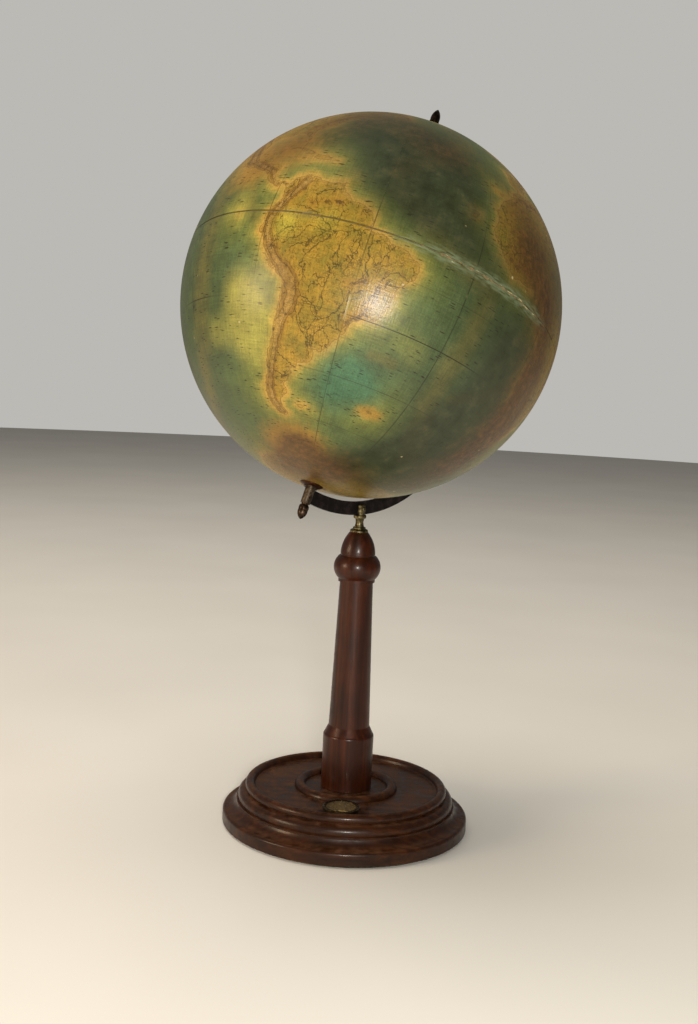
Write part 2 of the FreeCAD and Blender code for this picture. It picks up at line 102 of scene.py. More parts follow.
COASTS = {
    "south_america": outline("""
        -77.3 8.5 -76.0 9.4 -75.5 10.8 -74.2 11.3 -72.5 11.9 -71.6 12.4 -71.3 11.0 -71.8 9.6
        -71.0 9.8 -71.1 11.0 -70.1 12.0 -68.4 11.2 -68.0 10.5 -66.0 10.6 -64.7 10.1 -62.6 10.7
        -61.9 9.9 -60.8 9.3 -60.0 8.5 -58.5 7.3 -57.2 6.0 -55.2 5.9 -53.9 5.7 -52.0 4.7 -51.3 4.0
        -50.0 1.7 -50.4 0.2 -50.8 -0.9 -48.4 -0.6 -48.6 -1.5 -47.0 -0.7 -44.8 -1.6 -44.3 -2.7
        -42.2 -2.8 -40.0 -2.8 -38.4 -3.7 -37.2 -4.7 -35.5 -5.2 -34.8 -7.2 -35.1 -9.0 -36.4 -10.5
        -37.2 -11.6 -38.4 -13.0 -39.0 -14.5 -39.1 -17.0 -39.7 -19.4 -40.9 -21.9 -42.0 -23.0
        -44.5 -23.1 -46.5 -24.1 -48.3 -25.7 -48.6 -28.0 -50.0 -29.5 -52.2 -32.2 -53.6 -34.0
        -55.0 -34.9 -57.0 -34.5 -58.4 -34.0 -57.2 -35.3 -56.7 -36.6 -57.8 -38.2 -61.0 -38.9
        -62.3 -39.3 -62.2 -40.7 -65.0 -40.9 -63.8 -42.3 -65.2 -43.9 -65.6 -45.0 -67.5 -46.0
        -66.0 -47.6 -65.9 -48.3 -68.0 -50.1 -69.2 -51.5 -68.4 -52.4 -68.4 -53.3 -66.6 -54.5
        -65.2 -54.7 -67.3 -55.9 -69.5 -55.4 -72.0 -54.3 -74.0 -52.8 -75.2 -50.5 -75.5 -48.5
        -75.2 -46.8 -74.4 -44.9 -73.2 -43.0 -73.9 -41.5 -73.6 -39.5 -73.4 -37.2 -72.7 -35.8
        -71.7 -33.2 -71.6 -30.5 -71.0 -28.0 -70.5 -25.0 -70.2 -21.0 -70.3 -18.4 -71.4 -17.5
        -73.5 -16.3 -75.9 -14.7 -76.4 -13.5 -77.3 -11.9 -78.6 -9.5 -79.6 -7.5 -81.2 -6.0
        -81.3 -4.5 -80.2 -3.3 -80.9 -2.2 -80.5 -0.5 -80.0 0.8 -78.8 1.5 -77.5 3.5 -77.4 5.5
        -77.9 7.3"""),
    "north_america": outline("""
        -77.2 8.4 -79.5 9.5 -81.5 8.9 -83.3 10.5 -83.7 12.5 -83.2 15.0 -85.5 15.9 -88.3 15.8
        -88.2 17.8 -87.6 19.8 -87.0 21.4 -90.3 21.1 -90.7 19.5 -92.3 18.6 -94.5 18.2 -96.0 19.1
        -97.6 21.5 -97.6 24.5 -97.2 27.5 -95.0 29.2 -93.0 29.7 -90.3 29.2 -89.2 30.2 -86.5 30.4
        -84.2 30.0 -82.8 28.3 -81.8 26.2 -81.0 25.2 -80.2 26.5 -81.3 29.8 -81.0 32.0 -78.8 33.6
        -75.8 35.4 -76.0 37.0 -74.6 39.2 -74.0 40.6 -71.5 41.4 -70.1 42.0 -70.6 43.3 -67.5 44.5
        -65.9 43.6 -63.5 44.7 -60.2 46.0 -64.4 46.6 -64.9 48.2 -67.0 49.3 -60.3 50.2 -57.0 51.6
        -55.8 53.2 -58.5 54.9 -61.5 57.3 -64.6 60.3 -67.8 58.4 -70.0 60.8 -73.8 62.4 -77.8 62.5
        -78.2 58.9 -76.6 56.8 -79.3 54.6 -79.1 51.6 -82.2 52.9 -82.4 55.2 -87.8 56.4 -92.4 57.0
        -94.7 58.8 -93.2 61.9 -88.0 63.9 -86.5 66.3 -82.0 67.5 -84.5 69.5 -91.5 69.6 -95.5 68.2
        -103.5 67.9 -108.5 67.4 -115.0 68.3 -122.0 69.8 -128.0 70.3 -135.0 69.3 -141.0 69.7
        -150.0 70.5 -156.6 71.3 -162.0 70.0 -166.3 68.4 -162.0 66.5 -167.8 65.6 -161.3 64.4
        -164.8 62.8 -165.5 60.8 -161.9 58.7 -157.5 58.6 -162.5 55.2 -156.5 56.8 -151.8 59.5
        -148.0 60.2 -140.0 59.8 -136.0 58.2 -132.0 55.5 -130.3 54.0 -128.0 51.0 -124.8 48.9
        -124.3 46.3 -124.4 42.8 -124.2 40.4 -122.5 37.6 -120.7 34.8 -117.3 32.8 -115.9 30.2
        -114.2 27.8 -112.2 25.4 -109.9 22.9 -111.0 25.8 -112.9 28.5 -114.8 31.6 -112.3 29.2
        -109.5 26.2 -106.5 23.6 -105.5 20.5 -102.5 18.0 -99.0 16.6 -95.0 16.0 -92.5 14.6
        -88.5 13.2 -86.8 12.0 -85.7 10.4 -83.6 8.8 -82.3 8.2 -80.4 7.4 -79.6 8.8 -78.4 8.3
        -77.7 7.2"""),
    "greenland": outline("""
        -73.0 78.3 -62.0 82.0 -45.0 82.8 -33.0 83.5 -21.0 82.0 -18.0 79.5 -20.0 75.5 -23.0 71.5
        -28.0 68.5 -37.0 65.8 -40.5 64.0 -43.3 60.0 -48.3 61.0 -52.0 64.5 -54.0 67.3 -51.5 70.0
        -55.5 72.5 -59.5 75.7 -68.0 76.2"""),
    "baffin": outline("""
        -65.5 62.0 -61.9 66.6 -67.5 69.6 -76.0 72.5 -85.0 73.7 -89.0 70.8 -79.0 69.5 -73.0 66.5
        -73.0 64.5"""),
    "victoria": outline("-105 69.2 -101.5 70.5 -105 73 -115 73.2 -118 71 -113 69"),
    "ellesmere": outline("-62.5 82.3 -75 83 -90 81.8 -88 78.5 -80 76.3 -76 78.5"),
    "newfoundland": outline("-59.2 47.8 -55.5 46.9 -53.0 47.5 -55.5 51.4 -57.5 50.6"),
    "cuba": outline("""
        -84.8 21.9 -82.0 23.1 -77.5 21.8 -74.3 20.2 -77.6 19.9 -78.2 20.9 -82.0 22.4"""),
    "hispaniola": outline("-74.3 18.4 -73.2 19.8 -69.8 19.6 -68.5 18.4 -71.5 17.8"),
    "jamaica": outline("-78.3 18.3 -77.0 18.4 -76.3 17.9 -77.5 17.8"),
    "puerto_rico": outline("-67.2 18.4 -65.7 18.4 -65.8 18.0 -67.1 18.0"),
    "trinidad": outline("-61.8 10.7 -61.0 10.8 -61.1 10.1 -61.8 10.1"),
    "falklands": outline("-61.0 -51.8 -59.5 -51.3 -57.8 -51.6 -59.0 -52.3"),
    "southern_isle": outline("-32.4 -46.6 -31.0 -46.3 -30.2 -47.0 -31.6 -47.4"),
    "galapagos": outline("-91.5 0.0 -90.6 -0.2 -90.9 -0.9 -91.4 -0.8"),
    "africa": outline("""
        -5.9 35.8 -2.0 35.1 3.0 36.8 10.0 37.3 11.1 35.2 10.2 34.1 15.2 32.3 19.5 30.4 22.0 32.9
        25.0 31.6 29.0 30.9 32.3 31.2 34.2 31.3 32.6 29.9 33.7 27.5 35.6 24.0 37.3 21.0 37.5 18.6
        39.5 15.5 43.2 12.4 43.2 11.3 47.5 11.1 51.2 11.9 50.8 9.5 48.5 5.5 45.0 2.0 42.0 -1.0
        39.6 -4.3 39.3 -7.3 40.6 -11.0 40.7 -15.0 36.9 -17.9 34.8 -20.0 35.5 -23.8 32.9 -25.6
        32.5 -28.4 30.3 -31.3 27.0 -33.8 22.2 -34.1 20.0 -34.8 18.4 -34.0 17.9 -31.8 16.3 -28.5
        14.9 -25.5 14.4 -22.3 11.8 -18.0 12.4 -13.9 13.7 -11.5 12.9 -8.7 12.2 -5.8 9.4 -1.8
        9.5 1.5 9.7 3.9 8.5 4.7 5.8 4.5 4.4 6.4 1.2 6.0 -2.0 4.8 -5.0 5.2 -7.6 4.4 -10.5 6.5
        -13.2 8.9 -14.9 10.8 -16.7 12.6 -17.4 14.7 -16.4 17.0 -16.3 19.3 -17.0 21.0 -15.9 23.8
        -14.5 26.2 -12.0 28.1 -9.7 30.2 -9.0 32.7 -6.6 34.2"""),
    "madagascar": outline("""
        49.3 -12.1 50.4 -15.8 48.8 -19.8 47.1 -25.0 45.2 -25.5 43.4 -22.5 44.3 -19.8 44.4 -16.3
        47.3 -14.8"""),
    "canaries": outline("-18.0 28.7 -15.5 28.4 -13.8 29.0 -15.4 27.7"),
    "cape_verde": outline("-25.2 17.0 -23.0 16.6 -23.5 14.9 -24.8 14.9"),
    "eurasia": outline("""
        -5.6 36.1 -8.9 37.0 -9.4 38.9 -8.8 41.5 -9.2 43.2 -4.0 43.5 -1.5 43.5 -1.2 45.8 -4.6 48.3
        -1.6 48.7 0.2 49.6 2.0 51.0 4.5 52.3 8.4 53.8 8.2 57.0 10.6 57.6 10.8 54.1 14.2 54.1
        18.6 54.6 21.2 55.5 22.0 57.5 24.0 59.3 29.8 59.9 25.0 60.3 21.8 60.8 21.4 62.8 25.0 65.1
        22.0 65.7 17.5 62.0 18.8 60.0 16.5 57.3 14.3 55.6 12.7 56.5 10.8 59.2 8.0 58.1 5.3 59.3
        5.2 61.8 11.0 64.8 15.0 68.4 21.0 70.1 28.0 71.0 33.0 69.4 41.0 67.5 40.0 66.2 34.0 66.8
        35.0 64.3 38.5 64.7 42.0 66.4 44.5 68.2 53.5 68.5 60.5 69.6 68.0 68.5 70.0 73.0 73.0 71.5
        80.5 73.5 87.0 75.0 98.0 76.2 104.0 77.7 113.0 75.8 110.0 74.0 123.0 73.0 129.5 71.2
        140.0 72.6 152.0 70.9 161.0 69.6 170.0 69.9 180.0 68.9 190.0 66.0 186.5 64.3 179.0 62.3
        170.5 60.0 163.5 59.8 163.0 56.0 156.8 51.0 155.7 56.8 160.0 61.0 156.0 61.7 143.0 59.3
        135.2 54.7 141.0 53.0 140.3 48.5 135.5 44.3 131.0 42.7 129.5 41.0 127.5 39.5 129.4 37.0
        129.2 35.2 126.4 34.6 126.7 37.5 124.7 39.6 121.6 38.9 121.5 40.9 118.0 39.0 119.2 37.2
        122.5 37.2 119.3 35.0 121.8 31.8 121.8 29.0 119.5 25.6 116.7 23.2 113.5 22.1 110.3 21.2
        108.5 21.7 106.0 19.5 108.7 15.5 109.3 12.3 107.0 10.4 104.9 8.7 102.5 12.0 100.9 13.4
        99.5 11.0 100.4 7.4 103.4 4.2 104.1 1.4 101.3 2.9 98.5 8.0 98.6 12.5 97.6 16.5 94.4 16.0
        94.2 19.0 91.8 22.4 88.5 21.7 86.8 20.7 82.3 16.8 80.2 15.2 80.2 12.5 79.0 9.3 77.5 8.1
        76.3 10.2 74.4 14.8 72.8 19.2 72.6 21.5 70.0 21.0 68.6 23.4 66.6 25.2 61.6 25.2 57.3 25.9
        56.4 27.1 52.5 27.6 50.0 30.1 48.0 30.0 48.4 28.4 50.2 26.5 51.4 24.6 54.0 24.2 56.2 26.1
        56.9 24.2 59.8 22.5 57.8 19.0 55.0 17.0 52.2 15.6 45.0 12.8 43.4 12.7 42.8 15.8 39.1 21.3
        35.1 28.1 34.9 29.5 34.3 31.3 35.2 33.0 36.0 36.6 32.5 36.1 30.6 36.8 27.4 36.8 26.3 39.3
        29.0 41.0 31.5 41.3 36.0 41.4 41.3 41.4 37.5 44.8 39.0 47.2 35.2 46.3 33.5 44.5 32.5 46.0
        30.0 45.8 28.0 43.2 28.5 41.4 26.0 40.8 23.5 40.3 24.0 38.0 22.8 36.6 21.3 37.6 19.5 41.0
        14.5 45.2 12.3 45.2 14.0 42.4 18.4 40.2 16.1 38.0 15.7 40.0 12.2 41.8 10.2 43.9 8.0 44.0
        4.5 43.4 3.1 42.3 0.5 40.6 -0.2 38.8 -2.0 36.8 -4.5 36.7"""),
    "britain": outline("""
        -5.5 50.1 -1.0 50.8 1.5 51.3 1.6 52.7 -0.2 54.0 -2.0 55.9 -2.0 57.6 -5.0 58.6 -5.8 56.5
        -4.9 54.8 -3.0 53.8 -4.6 53.0 -5.0 51.8"""),
    "ireland": outline("-6.2 52.3 -9.9 51.7 -10.0 54.2 -7.4 55.3 -5.7 54.5"),
    "iceland": outline("-22.7 63.9 -18.5 63.4 -13.7 64.9 -16.0 66.4 -22.5 66.4 -24.3 65.5"),
    "svalbard": outline("14 77 11 79.6 27 80.2 21 78.3"),
    "novaya": outline("51.6 71.5 55.5 75.0 68.0 77.0 57.5 73.5 57.5 70.7"),
    "honshu": outline("""
        130.0 32.0 131.5 31.5 132.0 33.5 135.8 33.5 138.5 34.7 140.8 35.8 141.9 39.5 141.0 41.4
        139.9 39.9 138.5 37.4 136.0 35.7 132.5 35.4 130.9 34.0"""),
    "hokkaido": outline("140.3 41.6 143.2 42.0 145.5 43.3 141.9 45.5 141.2 43.2"),
    "sakhalin": outline("142.0 46.0 143.5 49.0 142.9 54.3 142.0 51.5"),
    "luzon": outline("120.3 16.2 120.8 18.6 122.3 18.4 121.8 16.0 124.0 12.8 120.6 13.8"),
    "mindanao": outline("122.0 7.0 125.5 9.7 126.5 7.3 125.5 5.8 123.8 7.6"),
    "borneo": outline("""
        109.0 1.5 113.0 3.2 116.8 7.0 119.2 5.2 117.8 1.0 116.2 -3.9 111.5 -3.4 110.0 -1.3"""),
    "sumatra": outline("""
        95.3 5.6 98.0 4.3 101.5 2.0 104.0 -1.1 106.0 -3.2 105.7 -5.9 102.2 -4.0 98.7 1.7"""),
    "java": outline("105.3 -6.8 108.5 -6.7 112.6 -6.9 114.5 -7.8 110.0 -8.1 106.5 -7.4"),
    "sulawesi": outline("""
        119.5 -5.5 119.0 -2.5 120.0 0.8 125.0 1.6 120.9 0.4 123.3 -1.0 121.3 -1.9 122.9 -4.0
        120.4 -3.0"""),
    "new_guinea": outline("""
        131.0 -0.9 134.1 -0.9 135.0 -3.3 138.0 -1.7 144.5 -3.9 147.8 -6.2 150.7 -10.4 146.0 -8.6
        143.2 -9.1 138.0 -8.3 138.0 -5.5 133.0 -4.0"""),
    "australia": outline("""
        113.7 -22.5 117.0 -20.6 122.2 -18.2 125.5 -14.3 129.5 -14.9 131.0 -12.2 136.8 -12.2
        135.6 -14.8 140.0 -17.6 141.6 -14.0 142.5 -10.8 145.3 -15.0 148.8 -20.3 152.9 -25.2
        153.5 -28.8 150.7 -35.0 149.9 -37.5 146.3 -39.0 143.5 -38.8 140.0 -37.5 138.0 -35.6
        137.8 -33.0 135.5 -34.8 131.2 -31.5 126.0 -32.2 123.5 -33.9 118.0 -35.0 115.0 -34.2
        115.7 -31.7 113.4 -26.0"""),
    "tasmania": outline("144.7 -40.8 148.3 -40.9 147.0 -43.6 145.4 -42.5"),
    "new_zealand_north": outline("""
        172.7 -34.5 175.5 -36.8 178.5 -37.8 176.9 -40.0 175.2 -41.6 173.8 -39.3 174.8 -37.5"""),
    "new_zealand_south": outline("""
        172.7 -40.5 174.3 -41.8 170.8 -45.9 168.5 -46.6 166.5 -45.8 171.2 -42.4"""),
    "sri_lanka": outline("79.8 8.0 80.2 9.7 81.8 7.5 80.4 6.0"),
    "antarctica": outline("""
        -180 -78.3 -158 -77.0 -140 -75.3 -125 -73.8 -100 -72.5 -90 -73.0 -80 -73.3 -68 -73.0
        -67.5 -69.0 -65.0 -66.0 -60.5 -64.0 -57.0 -63.3 -60.0 -66.5 -62.0 -70.0 -61.0 -75.0
        -50 -77.8 -35 -78.0 -26 -75.5 -12 -71.5 0 -69.9 12 -70.0 25 -70.3 33 -68.7 40 -69.3
        50 -66.8 57 -67.0 68 -70.0 73 -69.5 82 -66.9 95 -66.6 110 -66.2 122 -66.7 135 -66.0
        145 -67.2 155 -68.9 165 -70.6 170 -72.5 164 -77.0 167 -78.3 180 -78.3 180 -90 -180 -90"""),
}
LAKES = {
    "caspian": outline("""
        47.5 45.5 51.0 47.0 53.0 45.0 50.5 44.5 52.8 41.5 53.8 39.0 53.5 36.9 50.0 37.4 49.3 40.5
        47.5 43.0"""),
    "superior": outline("-92 46.8 -88 48.7 -84.8 46.8 -88 46.8"),
    "michigan": outline("-87.6 41.8 -87.6 45.0 -84.5 46.0 -80.2 45.5 -82.0 43.2 -84.5 45.0 -86.2 43"),
    "victoria": outline("31.8 -1.0 33.8 0.3 34.2 -1.0 32.5 -2.5"),
}
RIVERS = [outline(text) for text in (
    "-50.5 -0.5 -54 -2.2 -58 -3.2 -62 -3.8 -66 -2.8 -70 -4 -73.5 -4.5 -75 -8 -76.5 -10",
    "-60 -3.1 -63 -1 -67 1.5 -71 2", "-58.8 -3.4 -62 -7 -65 -10.5 -66 -14 -64 -17",
    "-61.5 -4 -65 -7 -70 -9.5", "-66.5 -3 -69 -6.5 -72.5 -8.5", "-55 -2.5 -57 -7 -56 -12 -58 -14",
    "-52 -1.8 -52 -6 -53.5 -12", "-49 -1.6 -49 -6 -48 -12 -50 -16", "-61 9 -65 8 -67.5 6 -66 3",
    "-36.4 -10.5 -40 -9 -43 -11.5 -44.5 -17 -46 -20", "-74.8 11 -74 8 -75.5 4 -76.5 2",
    "-58.5 -34 -60.5 -31.5 -58.8 -27.3 -54.5 -25.5 -51 -20.5 -48.5 -19", "-51 -20.5 -53 -18",
    "-58.7 -27.2 -57.5 -23 -58 -18 -57 -15", "-58.2 -33.5 -57.5 -30 -54 -27.3 -50.5 -28",
    "-57.7 -25 -60.5 -23 -63.5 -21.5", "-62.5 -40.8 -66 -39.3 -69.5 -37.5", "-60.7 -31.7 -64 -28 -65 -25",
    "-65 -43.3 -68 -43.8 -71 -42.5", "-38.5 -12.8 -41 -13", "-43 -3 -44 -6 -46 -9",
    "-89.3 29.2 -91 32 -89.5 36 -91 40.5 -93 45", "-90.2 38.8 -95.5 41 -101 45.5 -108 48",
    "-65 49 -71 46.8 -76 44.2", "-135 69 -127 65 -117 61.5", "-164 62.8 -155 64.8 -145 66.3 -138 63",
    "-97.2 26 -101 29.7 -106 31.8 -106.5 36", "-124 46.2 -119 46 -118 50", "-88.5 37 -83 39",
    "31 31 31.2 27 33 23.5 31 19.5 33.5 17.5 32.5 15.6 31.5 9.5 31.5 4", "32.5 15.6 35 12",
    "6 4.5 6.7 8 3.5 12 0 16.5 -4 14.5 -9 11", "12.4 -6 15.3 -4.3 18 -0.5 22 2 25.3 0.3 26 -6",
    "36 -18.8 31 -15.6 26 -17.9 22.5 -14", "16.5 -28.6 21 -28.7 25 -29.5 28 -30.3",
    "29.7 45.2 23 43.8 19 46 12 48.5", "48 46 44.5 48.5 49 54 44 56.3 35 57", "32 46.6 34 49 31 54",
    "72 67 66 63 70 60.5 78 58 84 53", "83 71 87 66 90 60 92 54", "127 72 123 65.5 129.5 62 116 60",
    "141 53 135 48.5 127 50.5 120 53", "119 37.7 111 34.7 110.5 40 104 37 98 34",
    "121.5 31.5 115 30 107 29.5 101 26 95 34", "106.5 10 105 15.5 101 21 96 31",
    "90 22.5 85 25.5 79 29.5", "67.5 24.3 70.5 29 73 34 80 32.5", "139 -35.4 142 -34 147 -36")]
# (half width in degrees, line); the great ranges get drawn ridge lines
RANGES = [(width, outline(text)) for width, text in (
    (1.5, "-72 10 -73.2 7.5 -75.6 4.5 -77.2 1.0 -78.8 -2.5 -78.4 -6.5 -76.6 -10 -74 -13 -71 -15.5"),
    (2.4, "-71 -15.5 -68.3 -18 -67.0 -21.5 -67.6 -25"), (1.6, "-67.6 -25 -69.5 -29 -70.2 -33"),
    (1.2, "-70.2 -33 -71.2 -38 -72.2 -43 -73.2 -48 -72.6 -51.5 -69 -54.6"),
    (3.0, "-150 62.5 -135 60.5 -125 54 -116 49 -111 44 -107 39 -105.5 35"),
    (2.0, "-105.5 35 -106 29 -102 24 -99 19"), (1.2, "-99 19 -92 16 -85 13 -82 8.8"),
    (2.2, "72 35 78 32 88 28.3 96 28.5"), (2.0, "70 41 88 43.5"), (1.6, "29 -28 27 -31"),
    (1.8, "45 36 55 29"), (1.3, "6 45.5 14 47"), (1.4, "7 61 15 66 20 69"))]
HILLS = [(width, outline(text)) for width, text in (
    (1.4, "-68 3.5 -64 4.5 -60.5 5"), (1.5, "-43 -14 -43.5 -19 -45.5 -22 -49 -26"),
    (1.3, "-47.5 -14 -51 -16"), (1.4, "-84 34.5 -78 40 -72 44"), (1.4, "-120 37 -122 44 -122 48"),
    (1.0, "-1 42.7 2 42.5"), (1.3, "40 43.5 47 41.5"), (1.5, "60 66 58 52"),
    (4.5, "80 34 88 34 95 33 100 31"), (2.5, "86 50 100 51 115 55"), (1.6, "-7 31.5 5 34.5"),
    (2.5, "39 12 37 6"), (2.0, "36 0 34 -9"), (1.8, "16 -14 18 -22"),
    (1.6, "148 -36 152 -29 146 -19"), (1.4, "137 -4 146 -7"), (2.6, "130 60 145 65 160 65"),
    (1.5, "168.5 -45 172 -42"), (1.8, "43 14 44 18"), (2.0, "9 5 13 8"), (1.6, "-10 9 -7 8"))]
# mid-ocean rises, printed paler
RISES = [(width, outline(text)) for width, text in (
    (5.0, "-18 66 -32 58 -35 52 -29 43 -36 35 -44 25 -46 14 -38 8 -28 1 -14 -2"),
    (4.5, "-14 -2 -13.5 -15 -15 -28 -14 -38 -8 -47 -1 -54 15 -52 32 -47 50 -38"),
    (5.5, "50 -38 65 -28 68 -15 66 0 60 12"), (6.5, "-108 20 -104 8 -103 -5 -104 -20 -106 -35"),
    (5.0, "-106 -35 -118 -50 -140 -58 -170 -63"), (2.2, "-39 -31.5 -32 -31.5"),
    (2.6, "9 -20 2 -28 -8 -33"), (3.0, "-84 -2 -88 2 -90 8"))]
# soft patches of printed colour, of ageing and of painted shade: (longitude, latitude, radius in degrees, strength)
TEAL_DEEPS = ((-44, -39, 8, 1.1), (-50, -46, 6, 0.5), (-30, -13, 7, 0.25), (-4, -30, 8, 0.3),
              (-54, 26, 12, 0.35), (-86, -14, 6, 0.3), (-25, 22, 9, 0.3), (-36, -42, 6, 0.5),
              (-66, 38, 9, 0.4), (100, -25, 20, 0.6), (160, 25, 22, 0.6), (-140, 25, 20, 0.5))
BRIGHT_PATCHES = ((-80, -27, 7, 1.0), (-86, -22, 6, 0.7), (-79, -37, 6, 0.6), (-73.5, -3.5, 4.5, 1.0),
                  (-96, -33, 5, 0.6), (-62, -1, 5, 0.5), (-92, 2, 6, 0.7), (-84, -33, 6, 0.6),
                  (40, -35, 9, 0.4), (-160, 0, 14, 0.5), (120, -20, 9, 0.4), (-28, -26, 6, 0.3))
ORANGE_HALOS = ((-35, -47.2, 2.0, 0.6), (-31.2, -47.0, 2.3, 0.72), (-27.6, -46.8, 2.0, 0.6), (-60, -65, 6, 1.0), (-70, -67, 8, 1.2),
                (-54, -52, 4, 0.3), (-95, 14, 7, 0.8), (-83, 22, 10, 0.8), (-60, 13, 6, 0.4),
                (-25, -71, 9, 0.5), (-105, 25, 14, 0.6))
BROWN_STAINS = ((17, -11, 9, 1.2), (21, -23, 9, 1.2), (24, -34, 9, 1.1), (25, -46, 9, 0.9),
                (33, -60, 10, 0.5), (10, 3, 9, 1.1), (-1, 15, 11, 1.3), (-8, 30, 10, 0.6),
                (-60, -66, 6, 1.0), (-66, -73, 9, 0.8), (-110, -78, 12, 0.7), (-45, 36, 10, 0.4), (-31, 34, 9, 0.4), (-90, 18, 10, 0.5),
                (-80, 28, 12, 0.7), (-68, 50, 14, 0.6), (-30, -75, 10, 1.0), (-48, 21, 5, 0.3),
                (-50, 6, 7, 0.3), (80, 0, 20, 0.5), (140, 30, 18, 0.5), (-150, -30, 20, 0.4))
# darkening patches, partly dirt and partly painted shade over the Atlantic side and the lower edge, where the globe
# turns from the light
SHADE_AND_GRIME_PATCHES = ((-45, 30, 20, 1.0), (-30, 18, 14, 0.8), (-25, 6, 9, 0.5), (-62, 40, 16, 0.9),
                 (-12, 2, 10, 0.7), (2, -14, 13, 1.2), (10, -35, 12, 1.3), (-4, -30, 9, 0.4), (-22, -12, 10, 0.25), (4, -42, 9, 0.8),
                 (2, -50, 12, 1.1), (14, -60, 16, 1.5), (-14, -64, 8, 0.7), (-30, -70, 7, 0.6),
                 (16, 14, 14, 0.8), (-40, 8, 8, 0.45), (-20, -38, 8, 0.35), (-50, 16, 10, 0.6),
                 (-75, -60, 8, 0.4), (90, 40, 25, 0.7), (150, -30, 25, 0.8), (-150, 40, 20, 0.5))
NET_SHOWS = ((-20, -22, 10, 0.9), (-20, -38, 10, 1.0), (-20, -55, 10, 0.8), (-20, -8, 8, 0.4),
             (-50, -34, 8, 0.6), (-50, -48, 9, 0.6), (-50, -60, 7, 0.5), (-50, -8, 4, 0.1),
             (-32, -23, 9, 1.1), (-18, -23, 9, 0.9), (-42, -24, 6, 1.0), (-60, -23, 7, 0.4),
             (-106, -23, 8, 0.9), (-95, 0, 9, 1.0), (-84, 0, 8, 1.0), (-68, 0, 10, 1.0),
             (-52, 0, 9, 1.2), (-36, 0, 9, 1.2), (-20, 0, 10, 1.2), (-4, 0, 10, 1.2), (10, 0, 9, 1.0),
             (-110, 0, 9, 0.7), (-25, -40, 7, 0.7), (-38, -40, 6, 0.4), (90, 0, 30, 0.8),
             (-170, 0, 30, 0.7), (100, -25, 20, 0.7), (160, 10, 25, 0.5))
PALE_CREASES = ((-50, -21.5, 3.5, 1.3), (-90, -13, 5.5, 0.9), (-20, -8, 4, 0.4))
EQUATOR_WEAR = ((-40, 0, 6, 0.5), (-28, 0, 8, 1.0), (-12, 0, 10, 1.1), (2, 0, 9, 1.0), (-70, 0, 9, 0.3),
                (100, 0, 20, 0.8))


# ---------------------------------------------------------------- fields worked out over the map
def directions(lonlat):
    """Unit vectors of places given in degrees, with longitude zero on +X."""
    lon, lat = np.radians(lonlat[:, 0]), np.radians(lonlat[:, 1])
    return np.stack((np.cos(lat) * np.cos(lon), np.cos(lat) * np.sin(lon), np.sin(lat)), 1)


def stepped(line, degrees):
    """The line with a point at least every so many degrees."""
    pieces = []
    for a, b in zip(line[:-1], line[1:]):
        count = max(1, math.ceil(np.hypot(*(b - a)) / degrees))
        pieces.append(a + (b - a) * np.arange(count)[:, None] / count)
    return np.vstack(pieces + [line[-1:]])


def distance_to(lines, points):
    """Millimetres from each point to the nearest line, negative on the line's left side."""
    paths = [directions(stepped(line, 0.5)) * GLOBE_MM for line in lines]
    a = np.vstack([path[:-1] for path in paths])
    b = np.vstack([path[1:] for path in paths])
    tree = kdtree.KDTree(len(a))
    for i, middle in enumerate((a + b) / 2):
        tree.insert(middle, i)
    tree.balance()
    nearest = np.array([tree.find(point)[1] for point in points])
    best, side = np.full(len(points), 1e9), np.ones(len(points))
    for step in (0, -1, 1):
        i = np.clip(nearest + step, 0, len(a) - 1)
        along = b[i] - a[i]
        share = np.clip(((points - a[i]) * along).sum(1) / np.maximum((along**2).sum(1), 1e-9), 0, 1)
        gap = points - a[i] - along * share[:, None]
        away = np.sqrt((gap**2).sum(1))
        closer = away < best
        turn = (np.cross(along, gap) * points).sum(1)
        best = np.where(closer, away, best)
        side = np.where(closer, np.where(turn > 0, -1.0, 1.0), side)
    return best * side


def inside(line, lon, lat):
    """Whether each place is inside the outline."""
    found = np.zeros(len(lon), bool)
    x0, x1 = line[:, 0].min(), line[:, 0].max()
    y0, y1 = line[:, 1].min(), line[:, 1].max()
    for turn in (0, 360):
        x = lon + turn
        near = np.nonzero((x >= x0) & (x <= x1) & (lat >= y0) & (lat <= y1))[0]
        px, py = x[near], lat[near]
        odd = np.zeros(len(near), bool)
        for (ax, ay), (bx, by) in zip(line, np.roll(line, -1, 0)):
            if ay != by:
                crosses = ((ay > py) != (by > py)) & (px < (bx - ax) * (py - ay) / (by - ay) + ax)
                odd ^= crosses
        found[near] |= odd
    return found


def band(lines, unit):
    """How high each point lies on soft ridges drawn along lines, from 0 to 1."""
    height = np.zeros(len(unit))
    for width, line in lines:
        reach = (unit @ directions(stepped(line, 1.0)).T).max(1)
        degrees = np.degrees(np.arccos(np.clip(reach, -1, 1)))
        height = np.maximum(height, np.exp(-((degrees / width) ** 2)))
    return height


def patches(spots, unit):
    """Soft round patches added together."""
    total = np.zeros(len(unit))
    for lon, lat, radius, strength in spots:
        reach = unit @ directions(np.array([[lon, lat]], float))[0]
        degrees = np.degrees(np.arccos(np.clip(reach, -1, 1)))
        total += strength * np.exp(-((degrees / radius) ** 2))
    return total


